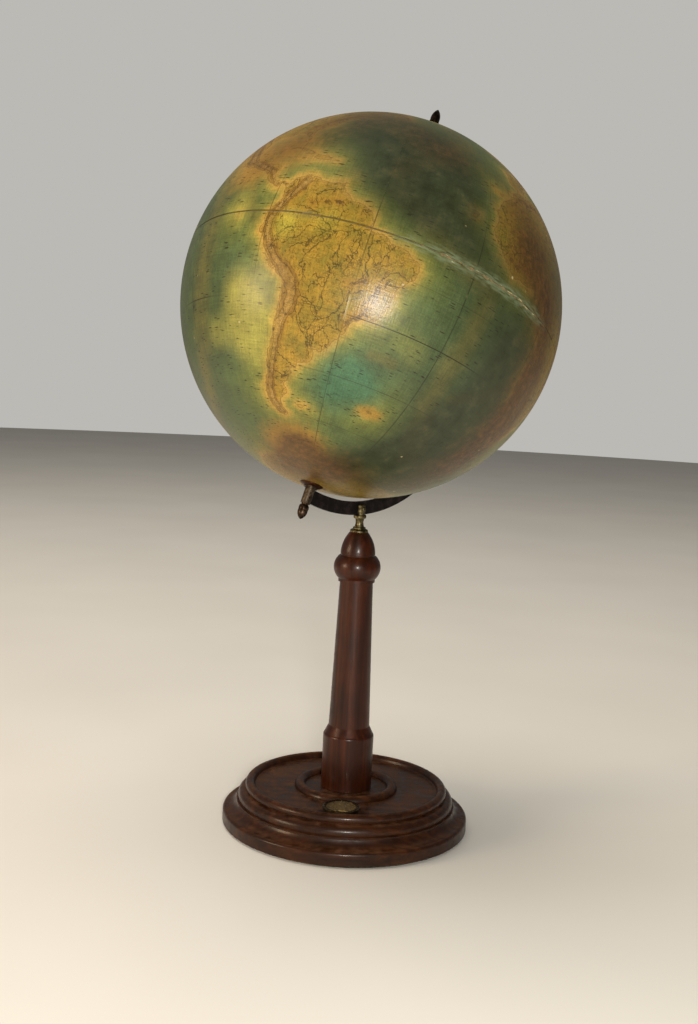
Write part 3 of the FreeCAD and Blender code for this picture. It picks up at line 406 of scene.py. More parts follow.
# ---------------------------------------------------------------- the printed gores
def gore(north, index):
    """One paper gore of a half globe, as a bmesh in millimetres in the map's own directions."""
    sign = 1 if north else -1
    start = math.asin(EQUATOR_MM / 2 / GLOBE_MM)
    reach = math.acos(POLE_HOLE_MM / GLOBE_MM) - start
    seam = SEAM_MM / GLOBE_MM
    west = math.radians(FIRST_GORE + index * GORE_STEP + LON_ZERO) + seam / 2
    sweep = math.radians(GORE_STEP) - seam
    flat = math.cos(start) * GLOBE_MM
    bm = bmesh.new()
    corner = bm.verts.new((flat * math.cos(west), flat * math.sin(west), sign * EQUATOR_MM / 2))
    bmesh.ops.spin(bm, geom=[corner], cent=(0, 0, 0), axis=(math.sin(west), -math.cos(west), 0),
                   angle=sign * reach, steps=round(reach * GLOBE_MM / MESH_STEP_MM), use_merge=False)
    bmesh.ops.spin(bm, geom=bm.verts[:] + bm.edges[:], cent=(0, 0, 0), axis=(0, 0, 1),
                   angle=sweep, steps=round(sweep * GLOBE_MM / MESH_STEP_MM), use_merge=False)
    bmesh.ops.remove_doubles(bm, verts=bm.verts[:], dist=1e-4)
    bm.normal_update()
    outward = sum(face.normal.dot(face.calc_center_median()) for face in bm.faces)
    if outward < 0:
        bmesh.ops.reverse_faces(bm, faces=bm.faces[:])
    return bm


def worn_equator(bm):
    """Frays and lifts the paper along the open joint at the equator, most where it has worn."""
    places = np.array([v.co for v in bm.verts])
    unit = places / np.linalg.norm(places, axis=1)[:, None]
    lonlat = np.stack((np.degrees(np.arctan2(unit[:, 1], unit[:, 0])) - LON_ZERO,
                       np.degrees(np.arcsin(unit[:, 2]))), 1)
    map_unit = directions(lonlat)
    wear = np.clip(patches(EQUATOR_WEAR, map_unit), 0, 1.1)
    for vertex, place, worn in zip(bm.verts, places, wear):
        height = abs(place[2])
        if height < 7:
            fray = noise.noise(Vector(place) * 0.31) + 0.6 * noise.noise(Vector(place) * 0.9)
            lift = 0.5 + noise.noise(Vector(place) * 0.16 + Vector((7, 3, 5)))
            near = 1 - height / 7
            vertex.co.z += math.copysign(near**2 * worn * max(0.0, fray) * 2.0, place[2])
            vertex.co *= 1 + near**3 * worn * 0.45 * max(0.0, lift) / GLOBE_MM


def map_piece(name, north, index):
    bm = gore(north, index)
    worn_equator(bm)
    bmesh.ops.solidify(bm, geom=bm.faces[:], thickness=PAPER_MM)
    mesh = bpy.data.meshes.new(name)
    bm.to_mesh(mesh)
    bm.free()
    mesh.polygons.foreach_set("use_smooth", np.ones(len(mesh.polygons), bool))
    mesh.set_sharp_from_angle(angle=math.radians(40))
    piece = bpy.data.objects.new(name, mesh)
    bpy.context.scene.collection.objects.link(piece)
    return piece


gores = [(map_piece(f"map_gore_{half}_{index + 1:02d}", half == "north", index), half, index)
         for half in ("north", "south") for index in range(GORES)]

counts = [len(piece.data.vertices) for piece, _, _ in gores]
spots_mm = np.zeros((sum(counts), 3), np.float32)
first = 0
for (piece, _, _), count in zip(gores, counts):
    block = np.zeros(count * 3, np.float32)
    piece.data.vertices.foreach_get("co", block)
    spots_mm[first:first + count] = block.reshape(-1, 3)
    first += count
radius_mm = np.linalg.norm(spots_mm, axis=1)
lat = np.degrees(np.arcsin(spots_mm[:, 2] / radius_mm))
middle = np.repeat([FIRST_GORE + (index + 0.5) * GORE_STEP for _, _, index in gores], counts)
lon = np.degrees(np.arctan2(spots_mm[:, 1], spots_mm[:, 0])) - LON_ZERO
lon = middle + (lon - middle + 180) % 360 - 180          # never jumps inside a gore
lon_180 = (lon + 180) % 360 - 180
unit = directions(np.stack((lon, lat), 1))
rings = [np.vstack((line, line[:1])) for line in (*COASTS.values(), *LAKES.values())]
for i, line in enumerate(rings):
    if line[:, 1].min() < -85:
        rings[i] = line[line[:, 1] > -85][:-1]
land = np.zeros(len(lat), bool)
for line in COASTS.values():
    land |= inside(line, lon_180, lat)
for line in LAKES.values():
    land &= ~inside(line, lon_180, lat)
coast_mm = np.abs(distance_to(rings, unit * GLOBE_MM)) * np.where(land, 1, -1)
river_mm = distance_to(RIVERS, unit * GLOBE_MM)
fields = {
    "place": (lon, lat, patches(NET_SHOWS, unit)),
    "shore": (coast_mm, river_mm, np.maximum(band(RANGES, unit), 0.4 * band(HILLS, unit))),
    "sea": (band(RISES, unit), patches(TEAL_DEEPS, unit), patches(BRIGHT_PATCHES, unit)),
    "age": (patches(BROWN_STAINS, unit), patches(ORANGE_HALOS, unit), patches(EQUATOR_WEAR, unit)),
    "wash": (patches(SHADE_AND_GRIME_PATCHES, unit), patches(PALE_CREASES, unit), np.zeros(len(lat))),
}
first = 0
for (piece, half, index), count in zip(gores, counts):
    for name, parts in fields.items():
        layer = piece.data.attributes.new(name, "FLOAT_VECTOR", "POINT")
        values = np.stack([part[first:first + count] for part in parts], 1).astype(np.float32)
        layer.data.foreach_set("vector", values.ravel())
    first += count
    piece.data.transform(Matrix.Translation(globe_centre) @ map_to_frame.to_4x4()
                         @ Matrix.Scale(MM, 4))
    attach(piece, "globe")
    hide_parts(f"gores_{half}")


# ---------------------------------------------------------------- finishes
def linear(text):
    """An sRGB hex colour as linear RGBA."""
    parts = [int(text[i:i + 2], 16) / 255 for i in (1, 3, 5)]
    return [part / 12.92 if part <= 0.04045 else ((part + 0.055) / 1.055) ** 2.4 for part in parts] + [1]


class Finish:
    """A material being put together, node by node."""

    def __init__(self, name, base=None, **settings):
        self.material = bpy.data.materials.new(name)
        self.material.use_nodes = True
        self.tree = self.material.node_tree
        self.shader = self.tree.nodes["Principled BSDF"]
        if base:
            self.shader.inputs["Base Color"].default_value = linear(base)
        for socket, value in settings.items():
            socket = socket.replace("_", " ").title().replace("Ior", "IOR")
            self.shader.inputs[socket].default_value = value

    def add(self, kind, inputs=None, out=0, stops=None, **settings):
        """Adds a node with its settings, values and links, and gives one of its outputs."""
        made = self.tree.nodes.new("ShaderNode" + kind)
        for name, value in settings.items():
            setattr(made, name, value)
        if stops:
            ramp = made.color_ramp.elements
            while len(ramp) < len(stops):
                ramp.new(1.0)
            for element, (position, colour) in zip(ramp, stops):
                element.position = position
                element.color = linear(colour)
        for socket, value in (inputs or {}).items():
            self.join(value, made.inputs[socket])
        return made.outputs[out]

    def join(self, value, socket):
        if isinstance(value, bpy.types.NodeSocket):
            self.tree.links.new(value, socket)
        elif isinstance(value, str):
            socket.default_value = linear(value)
        else:
            socket.default_value = value

    def end(self, **links):
        """Links the finished patterns to the shader."""
        for name, value in links.items():
            self.join(value, self.shader.inputs[name.replace("_", " ")])
        return self.material

    def millimetres(self, scale=(1000, 1000, 1000), turn=(0, 0, 0), centre=(0, 0, 0)):
        """Object coordinates measured in millimetres from a centre."""
        place = self.add("TexCoord", out=3)
        moved = self.add("VectorMath", {0: place, 1: tuple(centre)}, operation="SUBTRACT")
        return self.add("Mapping", {"Vector": moved, "Rotation": turn, "Scale": scale})


def printed_map():
    """Lithographed paper under old yellowed varnish: inked lines, soft colour washes, a gloss
    that breaks into fine sparkle, brown staining and pale scuffs where the varnish has gone."""
    m = Finish("lithographed_paper_old_varnish", specular_ior_level=0.3, coat_weight=0.4,
               coat_roughness=0.25, coat_ior=1.5, coat_tint=linear("#f4e6bd"))
    mm = m.millimetres()
    place = m.add("SeparateXYZ", {0: m.add("Attribute", out=1, attribute_name="place")}).node
    shore = m.add("SeparateXYZ", {0: m.add("Attribute", out=1, attribute_name="shore")}).node
    sea = m.add("SeparateXYZ", {0: m.add("Attribute", out=1, attribute_name="sea")}).node
    age = m.add("SeparateXYZ", {0: m.add("Attribute", out=1, attribute_name="age")}).node
    wash = m.add("SeparateXYZ", {0: m.add("Attribute", out=1, attribute_name="wash")}).node
    lon_deg, lat_deg, net_shows = place.outputs[0], place.outputs[1], place.outputs[2]

    # irregularities: 60 mm clouds, 14 mm mottle, 5 mm wiggle, 1 mm print grain
    clouds = m.add("TexNoise", {"Vector": mm, "Scale": 1 / 60, "Detail": 3.0})
    mottle = m.add("TexNoise", {"Vector": mm, "Scale": 1 / 14, "Detail": 5.0, "Roughness": 0.62})
    wiggle = m.add("TexNoise", {"Vector": mm, "Scale": 1 / 5, "Detail": 4.0, "Roughness": 0.6})
    grain = m.add("TexNoise", {"Vector": mm, "Scale": 1 / 1.1, "Detail": 2.0, "Roughness": 0.7})
    # paper fibres and the brush marks of the varnish run along and across the gores
    lon_mm = m.add("Math", {0: lon_deg, 1: GLOBE_MM * math.pi / 180}, operation="MULTIPLY")
    lat_mm = m.add("Math", {0: lat_deg, 1: GLOBE_MM * math.pi / 180}, operation="MULTIPLY")
    sheet = m.add("CombineXYZ", {0: lon_mm, 1: lat_mm})
    warp = m.add("TexNoise", {"Vector": m.add("Mapping", {"Vector": sheet, "Scale": (0.7, 0.05, 1)}),
                              "Scale": 1.0, "Detail": 3.0})
    weft = m.add("TexNoise", {"Vector": m.add("Mapping", {"Vector": sheet, "Scale": (0.05, 0.7, 1)}),
                              "Scale": 1.0, "Detail": 3.0})
    fibres = m.add("Math", {0: m.add("Math", {0: warp, 1: weft}, operation="ADD"), 1: 1.0},
                   operation="SUBTRACT")

    # coast with small bays the outline is too coarse for
    ragged = m.add("MapRange", {"Value": wiggle, "To Min": -2.3, "To Max": 2.3})
    coast = m.add("Math", {0: shore.outputs[0], 1: ragged}, operation="ADD")
    on_land = m.add("MapRange", {"Value": coast, "From Min": -0.35, "From Max": 0.35})
    ridge = m.add("Math", {0: shore.outputs[2], 1: m.add("MapRange", {"Value": wiggle, "To Min": -0.3,
                  "To Max": 0.3})}, operation="ADD")

    # sea: ochre shelf, olive slope, green, then teal basins; paler olive over the rises
    soft_coast = m.add("Math", {0: coast, 1: m.add("MapRange", {"Value": mottle, "To Min": -6.0,
                       "To Max": 6.0})}, operation="ADD")
    depth = m.add("MapRange", {"Value": soft_coast, "From Min": 0.0, "From Max": -46.0})
    water = m.add("ValToRGB", {"Fac": depth}, stops=[(0.0, "#a98b42"), (0.07, "#97873f"),
                  (0.15, "#777a3c"), (0.34, "#5c6837"), (0.7, "#4c5d3a"), (1.0, "#445637")])
    teal = m.add("MapRange", {"Value": m.add("Math", {0: sea.outputs[1], 1: m.add("MapRange", {"Value":
                 mottle, "To Min": -0.3, "To Max": 0.3})}, operation="ADD"), "From Min": 0.1,
                 "From Max": 1.0, "To Max": 0.85})
    water = m.add("Mix", {0: teal, 6: water, 7: "#3b6851"}, out=2, data_type="RGBA")
    rise = m.add("MapRange", {"Value": m.add("Math", {0: sea.outputs[0], 1: m.add("MapRange", {"Value":
                 mottle, "To Min": -0.45, "To Max": 0.45})}, operation="ADD"), "From Min": 0.3,
                 "From Max": 1.05, "To Max": 0.55})
    water = m.add("Mix", {0: rise, 6: water, 7: "#6b6232"}, out=2, data_type="RGBA")
    bright = m.add("MapRange", {"Value": m.add("Math", {0: sea.outputs[2], 1: m.add("MapRange", {"Value":
                   clouds, "To Min": -0.3, "To Max": 0.3})}, operation="ADD"), "From Min": 0.15,
                   "From Max": 0.95, "To Max": 0.85})
    water = m.add("Mix", {0: bright, 6: water, 7: "#969449"}, out=2, data_type="RGBA")
    halo = m.add("MapRange", {"Value": m.add("Math", {0: age.outputs[1], 1: m.add("MapRange", {"Value":
                 wiggle, "To Min": -0.3, "To Max": 0.3})}, operation="ADD"), "From Min": 0.2,
                 "From Max": 0.95})
    water = m.add("Mix", {0: halo, 6: water, 7: "#9c7c34"}, out=2, data_type="RGBA")

    # land: yellow-green lowland, gold, brown flanks, paler crests
    height = m.add("Math", {0: ridge, 1: m.add("MapRange", {"Value": mottle, "To Min": -0.5,
                   "To Max": 0.5})}, operation="ADD")
    ground = m.add("ValToRGB", {"Fac": m.add("MapRange", {"Value": height, "From Min": -0.45, "From Max":
                   1.1})}, stops=[(0.0, "#7c7733"), (0.16, "#887a2f"), (0.32, "#93792b"),
                   (0.5, "#94752a"), (0.66, "#7b5c22"), (0.8, "#8e7030"), (1.0, "#9c8046")])
    ground = m.add("Mix", {0: bright, 6: ground, 7: "#a39b3f"}, out=2, data_type="RGBA")
    beach = m.add("MapRange", {"Value": coast, "From Min": 0.3, "From Max": 3.0, "To Min": 0.6,
                  "To Max": 0.0})
    ground = m.add("Mix", {0: beach, 6: ground, 7: "#a98a44"}, out=2, data_type="RGBA")
    colour = m.add("Mix", {0: on_land, 6: water, 7: ground}, out=2, data_type="RGBA")

    # inked lines on land: ridge lines, slopes hatched with short strokes, form lines and rivers
    ink = []
    for level, thick in ((0.4, 0.045), (0.72, 0.06)):
        off = m.add("Math", {0: m.add("Math", {0: ridge, 1: level}, operation="SUBTRACT")},
                    operation="ABSOLUTE")
        ink.append(m.add("MapRange", {"Value": off, "From Min": thick, "From Max": thick * 0.3,
                                      "To Max": 0.62}))
    hachure = m.add("TexNoise", {"Vector": m.add("Mapping", {"Vector": sheet, "Scale": (0.55, 1.5, 1)}),
                                 "Scale": 1.0, "Detail": 2.0, "Distortion": 0.6})
    strokes = m.add("MapRange", {"Value": hachure, "From Min": 0.45, "From Max": 0.38})
    on_slopes = m.add("MapRange", {"Value": height, "From Min": 0.3, "From Max": 0.75, "To Max": 0.45})
    ink.append(m.add("Math", {0: strokes, 1: on_slopes}, operation="MULTIPLY"))
    # form lines wander about 3 mm apart, heavier ones about 9 mm apart
    for size, count, thick, dark, squeeze in ((7.0, 5.5, 0.13, 0.5, (1.0, 0.8, 1.0)),
                                              (13.0, 3.5, 0.062, 0.72, (1.0, 1.0, 0.7))):
        field = m.add("TexNoise", {"Vector": m.add("Mapping", {"Vector": mm, "Scale": squeeze}),
                      "Scale": 1 / size, "Detail": 3.5, "Roughness": 0.58, "Distortion": 0.5})
        level = m.add("Math", {0: m.add("Math", {0: field, 1: count}, operation="MULTIPLY")},
                      operation="FRACT")
        off = m.add("Math", {0: m.add("Math", {0: level, 1: 0.5}, operation="SUBTRACT")},
                    operation="ABSOLUTE")
        line = m.add("MapRange", {"Value": off, "From Min": thick, "From Max": thick * 0.35,
                                  "To Max": dark})
        gaps = m.add("MapRange", {"Value": wiggle, "From Min": 0.34, "From Max": 0.48})
        ink.append(m.add("Math", {0: line, 1: gaps}, operation="MULTIPLY"))
    river = m.add("Math", {0: m.add("Math", {0: shore.outputs[1], 1: m.add("MapRange", {"Value": wiggle,
                  "To Min": -3.6, "To Max": 3.6})}, operation="ADD")}, operation="ABSOLUTE")
    ink.append(m.add("MapRange", {"Value": river, "From Min": 0.55, "From Max": 0.2, "To Max": 0.75}))
    land_ink = ink[0]
    for line in ink[1:]:
        land_ink = m.add("Math", {0: land_ink, 1: line}, operation="MAXIMUM")
    land_ink = m.add("Math", {0: land_ink, 1: on_land}, operation="MULTIPLY")
    shoreline = m.add("MapRange", {"Value": m.add("Math", {0: coast}, operation="ABSOLUTE"),
                      "From Min": 0.5, "From Max": 0.2, "To Max": 0.4})
    # soundings and currents: short strokes along the parallels, in loose groups
    strokes_at = m.add("TexVoronoi", {"Vector": m.add("Mapping", {"Vector": sheet,
                       "Scale": (0.17, 1.0, 1)}), "Scale": 1 / 1.9, "Randomness": 1.0})
    stroke = m.add("MapRange", {"Value": strokes_at, "From Min": 0.29, "From Max": 0.14, "To Max": 0.95})
    groups = m.add("MapRange", {"Value": m.add("TexNoise", {"Vector": mm, "Scale": 1 / 13,
                   "Detail": 3.0}), "From Min": 0.48, "From Max": 0.57})
    sea_ink = m.add("Math", {0: stroke, 1: groups}, operation="MULTIPLY")
    # depth lines, two or three curves round each basin, broken here and there
    basin = m.add("Math", {0: m.add("Math", {0: m.add("Math", {0: m.add("Math", {0: sea.outputs[1], 1:
                  m.add("MapRange", {"Value": mottle, "To Min": -0.5, "To Max": 0.5})},
                  operation="ADD"), 1: 3.5}, operation="MULTIPLY")}, operation="FRACT"), 1: 0.5},
                  operation="SUBTRACT")
    curve = m.add("MapRange", {"Value": m.add("Math", {0: basin}, operation="ABSOLUTE"), "From Min":
                  0.06, "From Max": 0.02})
    curve = m.add("Math", {0: curve, 1: m.add("MapRange", {"Value": sea.outputs[1], "From Min": 0.2,
                  "From Max": 0.6, "To Max": 0.5})}, operation="MULTIPLY")
    curve = m.add("Math", {0: curve, 1: m.add("MapRange", {"Value": wiggle, "From Min": 0.42,
                  "From Max": 0.55})}, operation="MULTIPLY")
    sea_ink = m.add("Math", {0: sea_ink, 1: curve}, operation="MAXIMUM")
    # speckle of dots on the rises
    dots = m.add("TexVoronoi", {"Vector": mm, "Scale": 1 / 2.8, "Randomness": 1.0})
    dot = m.add("MapRange", {"Value": dots, "From Min": 0.22, "From Max": 0.12, "To Max": 0.7})
    dot = m.add("Math", {0: dot, 1: m.add("Math", {0: rise, 1: groups}, operation="MULTIPLY")},
                operation="MULTIPLY")
    sea_ink = m.add("Math", {0: sea_ink, 1: dot}, operation="MAXIMUM")
    sea_ink = m.add("Math", {0: sea_ink, 1: m.add("Math", {0: 1.0, 1: on_land},
                    operation="SUBTRACT")}, operation="MULTIPLY")

    # lines of the net: meridians at the gore joints, the tropics and a few parallels
    spread = m.add("Math", {0: m.add("Math", {0: lat_deg}, operation="RADIANS")}, operation="COSINE")
    mm_per_degree = m.add("Math", {0: spread, 1: GLOBE_MM * math.pi / 180}, operation="MULTIPLY")
    turn = m.add("Math", {0: m.add("Math", {0: m.add("Math", {0: lon_deg, 1: -FIRST_GORE + 15.0 + 720.0},
                 operation="ADD"), 1: 30.0}, operation="MODULO"), 1: 15.0}, operation="SUBTRACT")
    from_joint = m.add("Math", {0: m.add("Math", {0: turn}, operation="ABSOLUTE"), 1: mm_per_degree},
                       operation="MULTIPLY")
    net = m.add("MapRange", {"Value": from_joint, "From Min": 0.6, "From Max": 0.25, "To Max": 0.6})
    for parallel, thick, dark in ((23.45, 0.36, 0.95), (40.0, 0.36, 0.5), (66.5, 0.36, 0.5),
                                  (10.0, 0.3, 0.4), (55.0, 0.32, 0.4)):
        off = m.add("Math", {0: m.add("Math", {0: m.add("Math", {0: lat_deg}, operation="ABSOLUTE"),
                    1: parallel}, operation="SUBTRACT")}, operation="ABSOLUTE")
        line = m.add("MapRange", {"Value": off, "From Min": thick * 0.52, "From Max": thick * 0.2,
                                  "To Max": dark})
        net = m.add("Math", {0: net, 1: line}, operation="MAXIMUM")
    from_equator = m.add("Math", {0: lat_mm}, operation="ABSOLUTE")
    rule = m.add("MapRange", {"Value": from_equator, "From Min": 0.8, "From Max": 0.45, "To Max": 0.8})
    net = m.add("Math", {0: net, 1: rule}, operation="MAXIMUM")
    shows = m.add("MapRange", {"Value": m.add("Math", {0: net_shows, 1: m.add("MapRange", {"Value":
                  mottle, "To Min": -0.3, "To Max": 0.3})}, operation="ADD"), "From Min": 0.0,
                  "From Max": 0.9, "To Min": 0.06})
    net = m.add("Math", {0: net, 1: shows}, operation="MULTIPLY")
    all_ink = m.add("Math", {0: m.add("Math", {0: land_ink, 1: sea_ink}, operation="MAXIMUM"), 1:
                    m.add("Math", {0: shoreline, 1: net}, operation="MAXIMUM")}, operation="MAXIMUM")

    # tone: fibres, mottle and grain lighten and darken the print
    tone = m.add("Math", {0: m.add("MapRange", {"Value": mottle, "From Min": 0.25, "From Max": 0.75,
                 "To Min": 0.72, "To Max": 1.28}), 1: m.add("MapRange", {"Value": fibres, "From Min":
                 -0.25, "From Max": 0.25, "To Min": 0.84, "To Max": 1.16})}, operation="MULTIPLY")
    tone = m.add("Math", {0: tone, 1: m.add("MapRange", {"Value": grain, "From Min": 0.25, "From Max":
                 0.75, "To Min": 0.78, "To Max": 1.22})}, operation="MULTIPLY")
    colour = m.add("VectorMath", {0: colour, 3: tone}, operation="SCALE")
    colour = m.add("Mix", {0: all_ink, 6: colour, 7: "#1d180b"}, out=2, data_type="RGBA")

    # ageing and painted shade: grey-green darkening, partly dirt and partly painted shade where the globe turns
    # from the light, brown stain under the varnish, pale scuffs and chips
    shade_and_grime = m.add("MapRange", {"Value": m.add("Math", {0: wash.outputs[0], 1: m.add("MapRange", {"Value":
                  mottle, "To Min": -0.3, "To Max": 0.3})}, operation="ADD"), "From Min": 0.1,
                  "From Max": 1.15, "To Max": 0.86})
    colour = m.add("Mix", {0: shade_and_grime, 6: colour, 7: m.add("ValToRGB", {"Fac": mottle}, stops=[(0.3,
                   "#22271a"), (0.55, "#2f3628"), (0.75, "#494935")])}, out=2, data_type="RGBA")
    stain = m.add("MapRange", {"Value": m.add("Math", {0: age.outputs[0], 1: m.add("MapRange", {"Value":
                  mottle, "To Min": -0.45, "To Max": 0.45})}, operation="ADD"), "From Min": 0.15,
                  "From Max": 1.15, "To Max": 0.85})
    colour = m.add("Mix", {0: stain, 6: colour, 7: m.add("ValToRGB", {"Fac": wiggle}, stops=[(0.3,
                   "#2f1e0f"), (0.5, "#4b3118"), (0.7, "#64431f")])}, out=2, data_type="RGBA")
    by_joint = m.add("MapRange", {"Value": from_equator, "From Min": 8.0, "From Max": 1.0})
    drawn_out = m.add("TexNoise", {"Vector": m.add("Mapping", {"Vector": sheet, "Scale": (0.11, 0.55,
                      1)}), "Scale": 1.0, "Detail": 4.0})
    worn = m.add("Math", {0: m.add("Math", {0: by_joint, 1: age.outputs[2]}, operation="MULTIPLY"), 1:
                 m.add("MapRange", {"Value": drawn_out, "From Min": 0.35, "From Max": 0.68})},
                 operation="MULTIPLY")
    colour = m.add("Mix", {0: m.add("MapRange", {"Value": worn, "From Min": 0.05, "From Max": 0.6,
                   "To Max": 0.66}), 6: colour, 7: "#76866f"}, out=2, data_type="RGBA")
    chips = m.add("TexVoronoi", {"Vector": mm, "Scale": 1 / 21, "Randomness": 1.0})
    chip = m.add("MapRange", {"Value": m.add("Math", {0: chips, 1: m.add("MapRange", {"Value": wiggle,
                 "To Min": -0.07, "To Max": 0.07})}, operation="ADD"), "From Min": 0.055,
                 "From Max": 0.03, "To Max": 0.7})
    chip = m.add("Math", {0: chip, 1: groups}, operation="MULTIPLY")
    bare = m.add("Math", {0: chip, 1: m.add("MapRange", {"Value": worn, "From Min": 0.82,
                 "From Max": 0.98})}, operation="MAXIMUM")
    crease = m.add("Math", {0: m.add("Math", {0: m.add("Math", {0: lon_deg, 1: 90.0}, operation="ADD")},
                   operation="ABSOLUTE"), 1: mm_per_degree}, operation="MULTIPLY")
    crease = m.add("Math", {0: crease, 1: from_joint}, operation="MINIMUM")
    crease = m.add("MapRange", {"Value": crease, "From Min": 0.9, "From Max": 0.4})
    crease = m.add("Math", {0: crease, 1: m.add("MapRange", {"Value": m.add("Math", {0: wash.outputs[1],
                   1: m.add("MapRange", {"Value": wiggle, "To Min": -0.5, "To Max": 0.5})},
                   operation="ADD"), "From Min": 0.4, "From Max": 0.9, "To Max": 0.45})},
                   operation="MULTIPLY")
    bare = m.add("Math", {0: bare, 1: crease}, operation="MAXIMUM")
    colour = m.add("Mix", {0: bare, 6: colour, 7: "#c4b68c"}, out=2, data_type="RGBA")
    # old varnish: glossier where whole, broken by scuffs, dust in the grain
    gloss = m.add("MapRange", {"Value": m.add("Math", {0: mottle, 1: grain}, operation="ADD"),
                  "From Min": 0.6, "From Max": 1.4, "To Min": 0.36, "To Max": 0.62})
    relief = m.add("Math", {0: m.add("Math", {0: grain, 1: 0.6}, operation="MULTIPLY"), 1: m.add("Math",
                   {0: fibres, 1: 0.7}, operation="MULTIPLY")}, operation="ADD")
    relief = m.add("Math", {0: relief, 1: m.add("Math", {0: bare, 1: -0.8}, operation="MULTIPLY")},
                   operation="ADD")
    bump = m.add("Bump", {"Strength": 0.45, "Distance": 0.0003, "Height": relief})
    return m.end(Base_Color=colour, Roughness=gloss, Normal=bump, Coat_Normal=bump)


def turned_wood(name, dark, mid, light, along, centre, radial_start):
    """Stained hardwood under French polish: straight dark pores, slow bands of lighter and redder wood, and
    lighter, rougher dust on what faces up."""
    m = Finish(name, specular_ior_level=0.2, coat_weight=0.16, coat_roughness=0.18, coat_ior=1.5)
    mm = m.millimetres(centre=centre)
    # growth bands about 5 mm wide, pores 0.4 mm wide drawn 0.9 mm so that they show
    squeeze = (1, 1, 0.045) if along == "z" else (0.045, 1, 1)
    grainwise = m.add("Mapping", {"Vector": mm, "Scale": squeeze})
    drift = m.add("TexNoise", {"Vector": mm, "Scale": 1 / 40, "Detail": 2.0})
    bands = m.add("TexNoise", {"Vector": grainwise, "Scale": 1 / 5.5, "Detail": 4.0, "Distortion": 0.5})
    pores = m.add("TexNoise", {"Vector": grainwise, "Scale": 1 / 0.9, "Detail": 3.0, "Roughness": 0.7})
    smudge = m.add("TexNoise", {"Vector": mm, "Scale": 1 / 9, "Detail": 5.0, "Roughness": 0.65})
    blend = m.add("Math", {0: bands, 1: m.add("MapRange", {"Value": drift, "To Min": -0.25,
                  "To Max": 0.25})}, operation="ADD")
    colour = m.add("ValToRGB", {"Fac": blend}, stops=[(0.25, dark), (0.5, mid), (0.78, light)])
    pore = m.add("MapRange", {"Value": pores, "From Min": 0.46, "From Max": 0.32, "To Max": 0.6})
    colour = m.add("Mix", {0: pore, 6: colour, 7: "#1c0b06"}, out=2, data_type="RGBA")
    # dust on what faces up
    up = m.add("SeparateXYZ", {0: m.add("NewGeometry", out=1)}, out=2)
    dust = m.add("Math", {0: m.add("MapRange", {"Value": up, "From Min": 0.75, "From Max": 1.0}), 1:
                 m.add("MapRange", {"Value": smudge, "From Min": 0.4, "From Max": 0.7, "To Max": 0.4})},
                 operation="MULTIPLY")
    colour = m.add("Mix", {0: dust, 6: colour, 7: "#7a5338"}, out=2, data_type="RGBA")
    rough = m.add("MapRange", {"Value": smudge, "From Min": 0.3, "From Max": 0.7, "To Min": 0.3,
                  "To Max": 0.5})
    rough = m.add("Math", {0: rough, 1: dust}, operation="ADD")
    height = m.add("Math", {0: m.add("Math", {0: pores, 1: 0.6}, operation="MULTIPLY"), 1: smudge},
                   operation="ADD")
    bump = m.add("Bump", {"Strength": 0.25, "Distance": 0.00025, "Height": height})
    return m.end(Base_Color=colour, Roughness=rough, Normal=bump)


def old_metal(name, bright, dull, dirt, metallic, low, high, patch_mm=4.0):
    """Turned or sheet metal left to tarnish: smudged oxide over the metal, faint turning lines,
    rougher where it is dirty and brighter where hands have rubbed it."""
    m = Finish(name, metallic=metallic)
    mm = m.millimetres()
    patch = m.add("TexNoise", {"Vector": mm, "Scale": 1 / patch_mm, "Detail": 5.0, "Roughness": 0.65})
    specks = m.add("TexNoise", {"Vector": mm, "Scale": 1 / 0.7, "Detail": 2.0})
    # turning lines 0.1 mm apart, drawn 0.6 mm apart so that they show
    lines = m.add("TexNoise", {"Vector": m.add("Mapping", {"Vector": mm, "Scale": (0.12, 0.12, 1.7)}),
                               "Scale": 1.0, "Detail": 3.0})
    colour = m.add("ValToRGB", {"Fac": m.add("MapRange", {"Value": patch, "From Min": 0.3,
                   "From Max": 0.7})}, stops=[(0.15, dirt), (0.5, dull), (0.85, bright)])
    fleck = m.add("MapRange", {"Value": specks, "From Min": 0.62, "From Max": 0.75, "To Max": 0.55})
    colour = m.add("Mix", {0: fleck, 6: colour, 7: dirt}, out=2, data_type="RGBA")
    rough = m.add("MapRange", {"Value": patch, "From Min": 0.7, "From Max": 0.3, "To Min": low,
                  "To Max": high})
    relief = m.add("Math", {0: lines, 1: m.add("Math", {0: specks, 1: 0.4}, operation="MULTIPLY")},
                   operation="ADD")
    bump = m.add("Bump", {"Strength": 0.2, "Distance": 0.0001, "Height": relief})
    return m.end(Base_Color=colour, Roughness=rough, Normal=bump)


def fibrous(name, dark, light, thread_mm, rough, relief):
    """Matt fibrous stock, such as baize or pressed card: a felted surface with lighter nap."""
    m = Finish(name, specular_ior_level=0.2)
    mm = m.millimetres()
    nap = m.add("TexNoise", {"Vector": mm, "Scale": 1 / thread_mm, "Detail": 4.0, "Roughness": 0.75})
    wear = m.add("TexNoise", {"Vector": mm, "Scale": 1 / 18, "Detail": 3.0})
    mixed = m.add("Math", {0: nap, 1: m.add("MapRange", {"Value": wear, "To Min": -0.2, "To Max": 0.2})},
                  operation="ADD")
    colour = m.add("ValToRGB", {"Fac": mixed}, stops=[(0.3, dark), (0.7, light)])
    bump = m.add("Bump", {"Strength": 0.5, "Distance": relief, "Height": nap})
    return m.end(Base_Color=colour, Roughness=rough, Normal=bump)


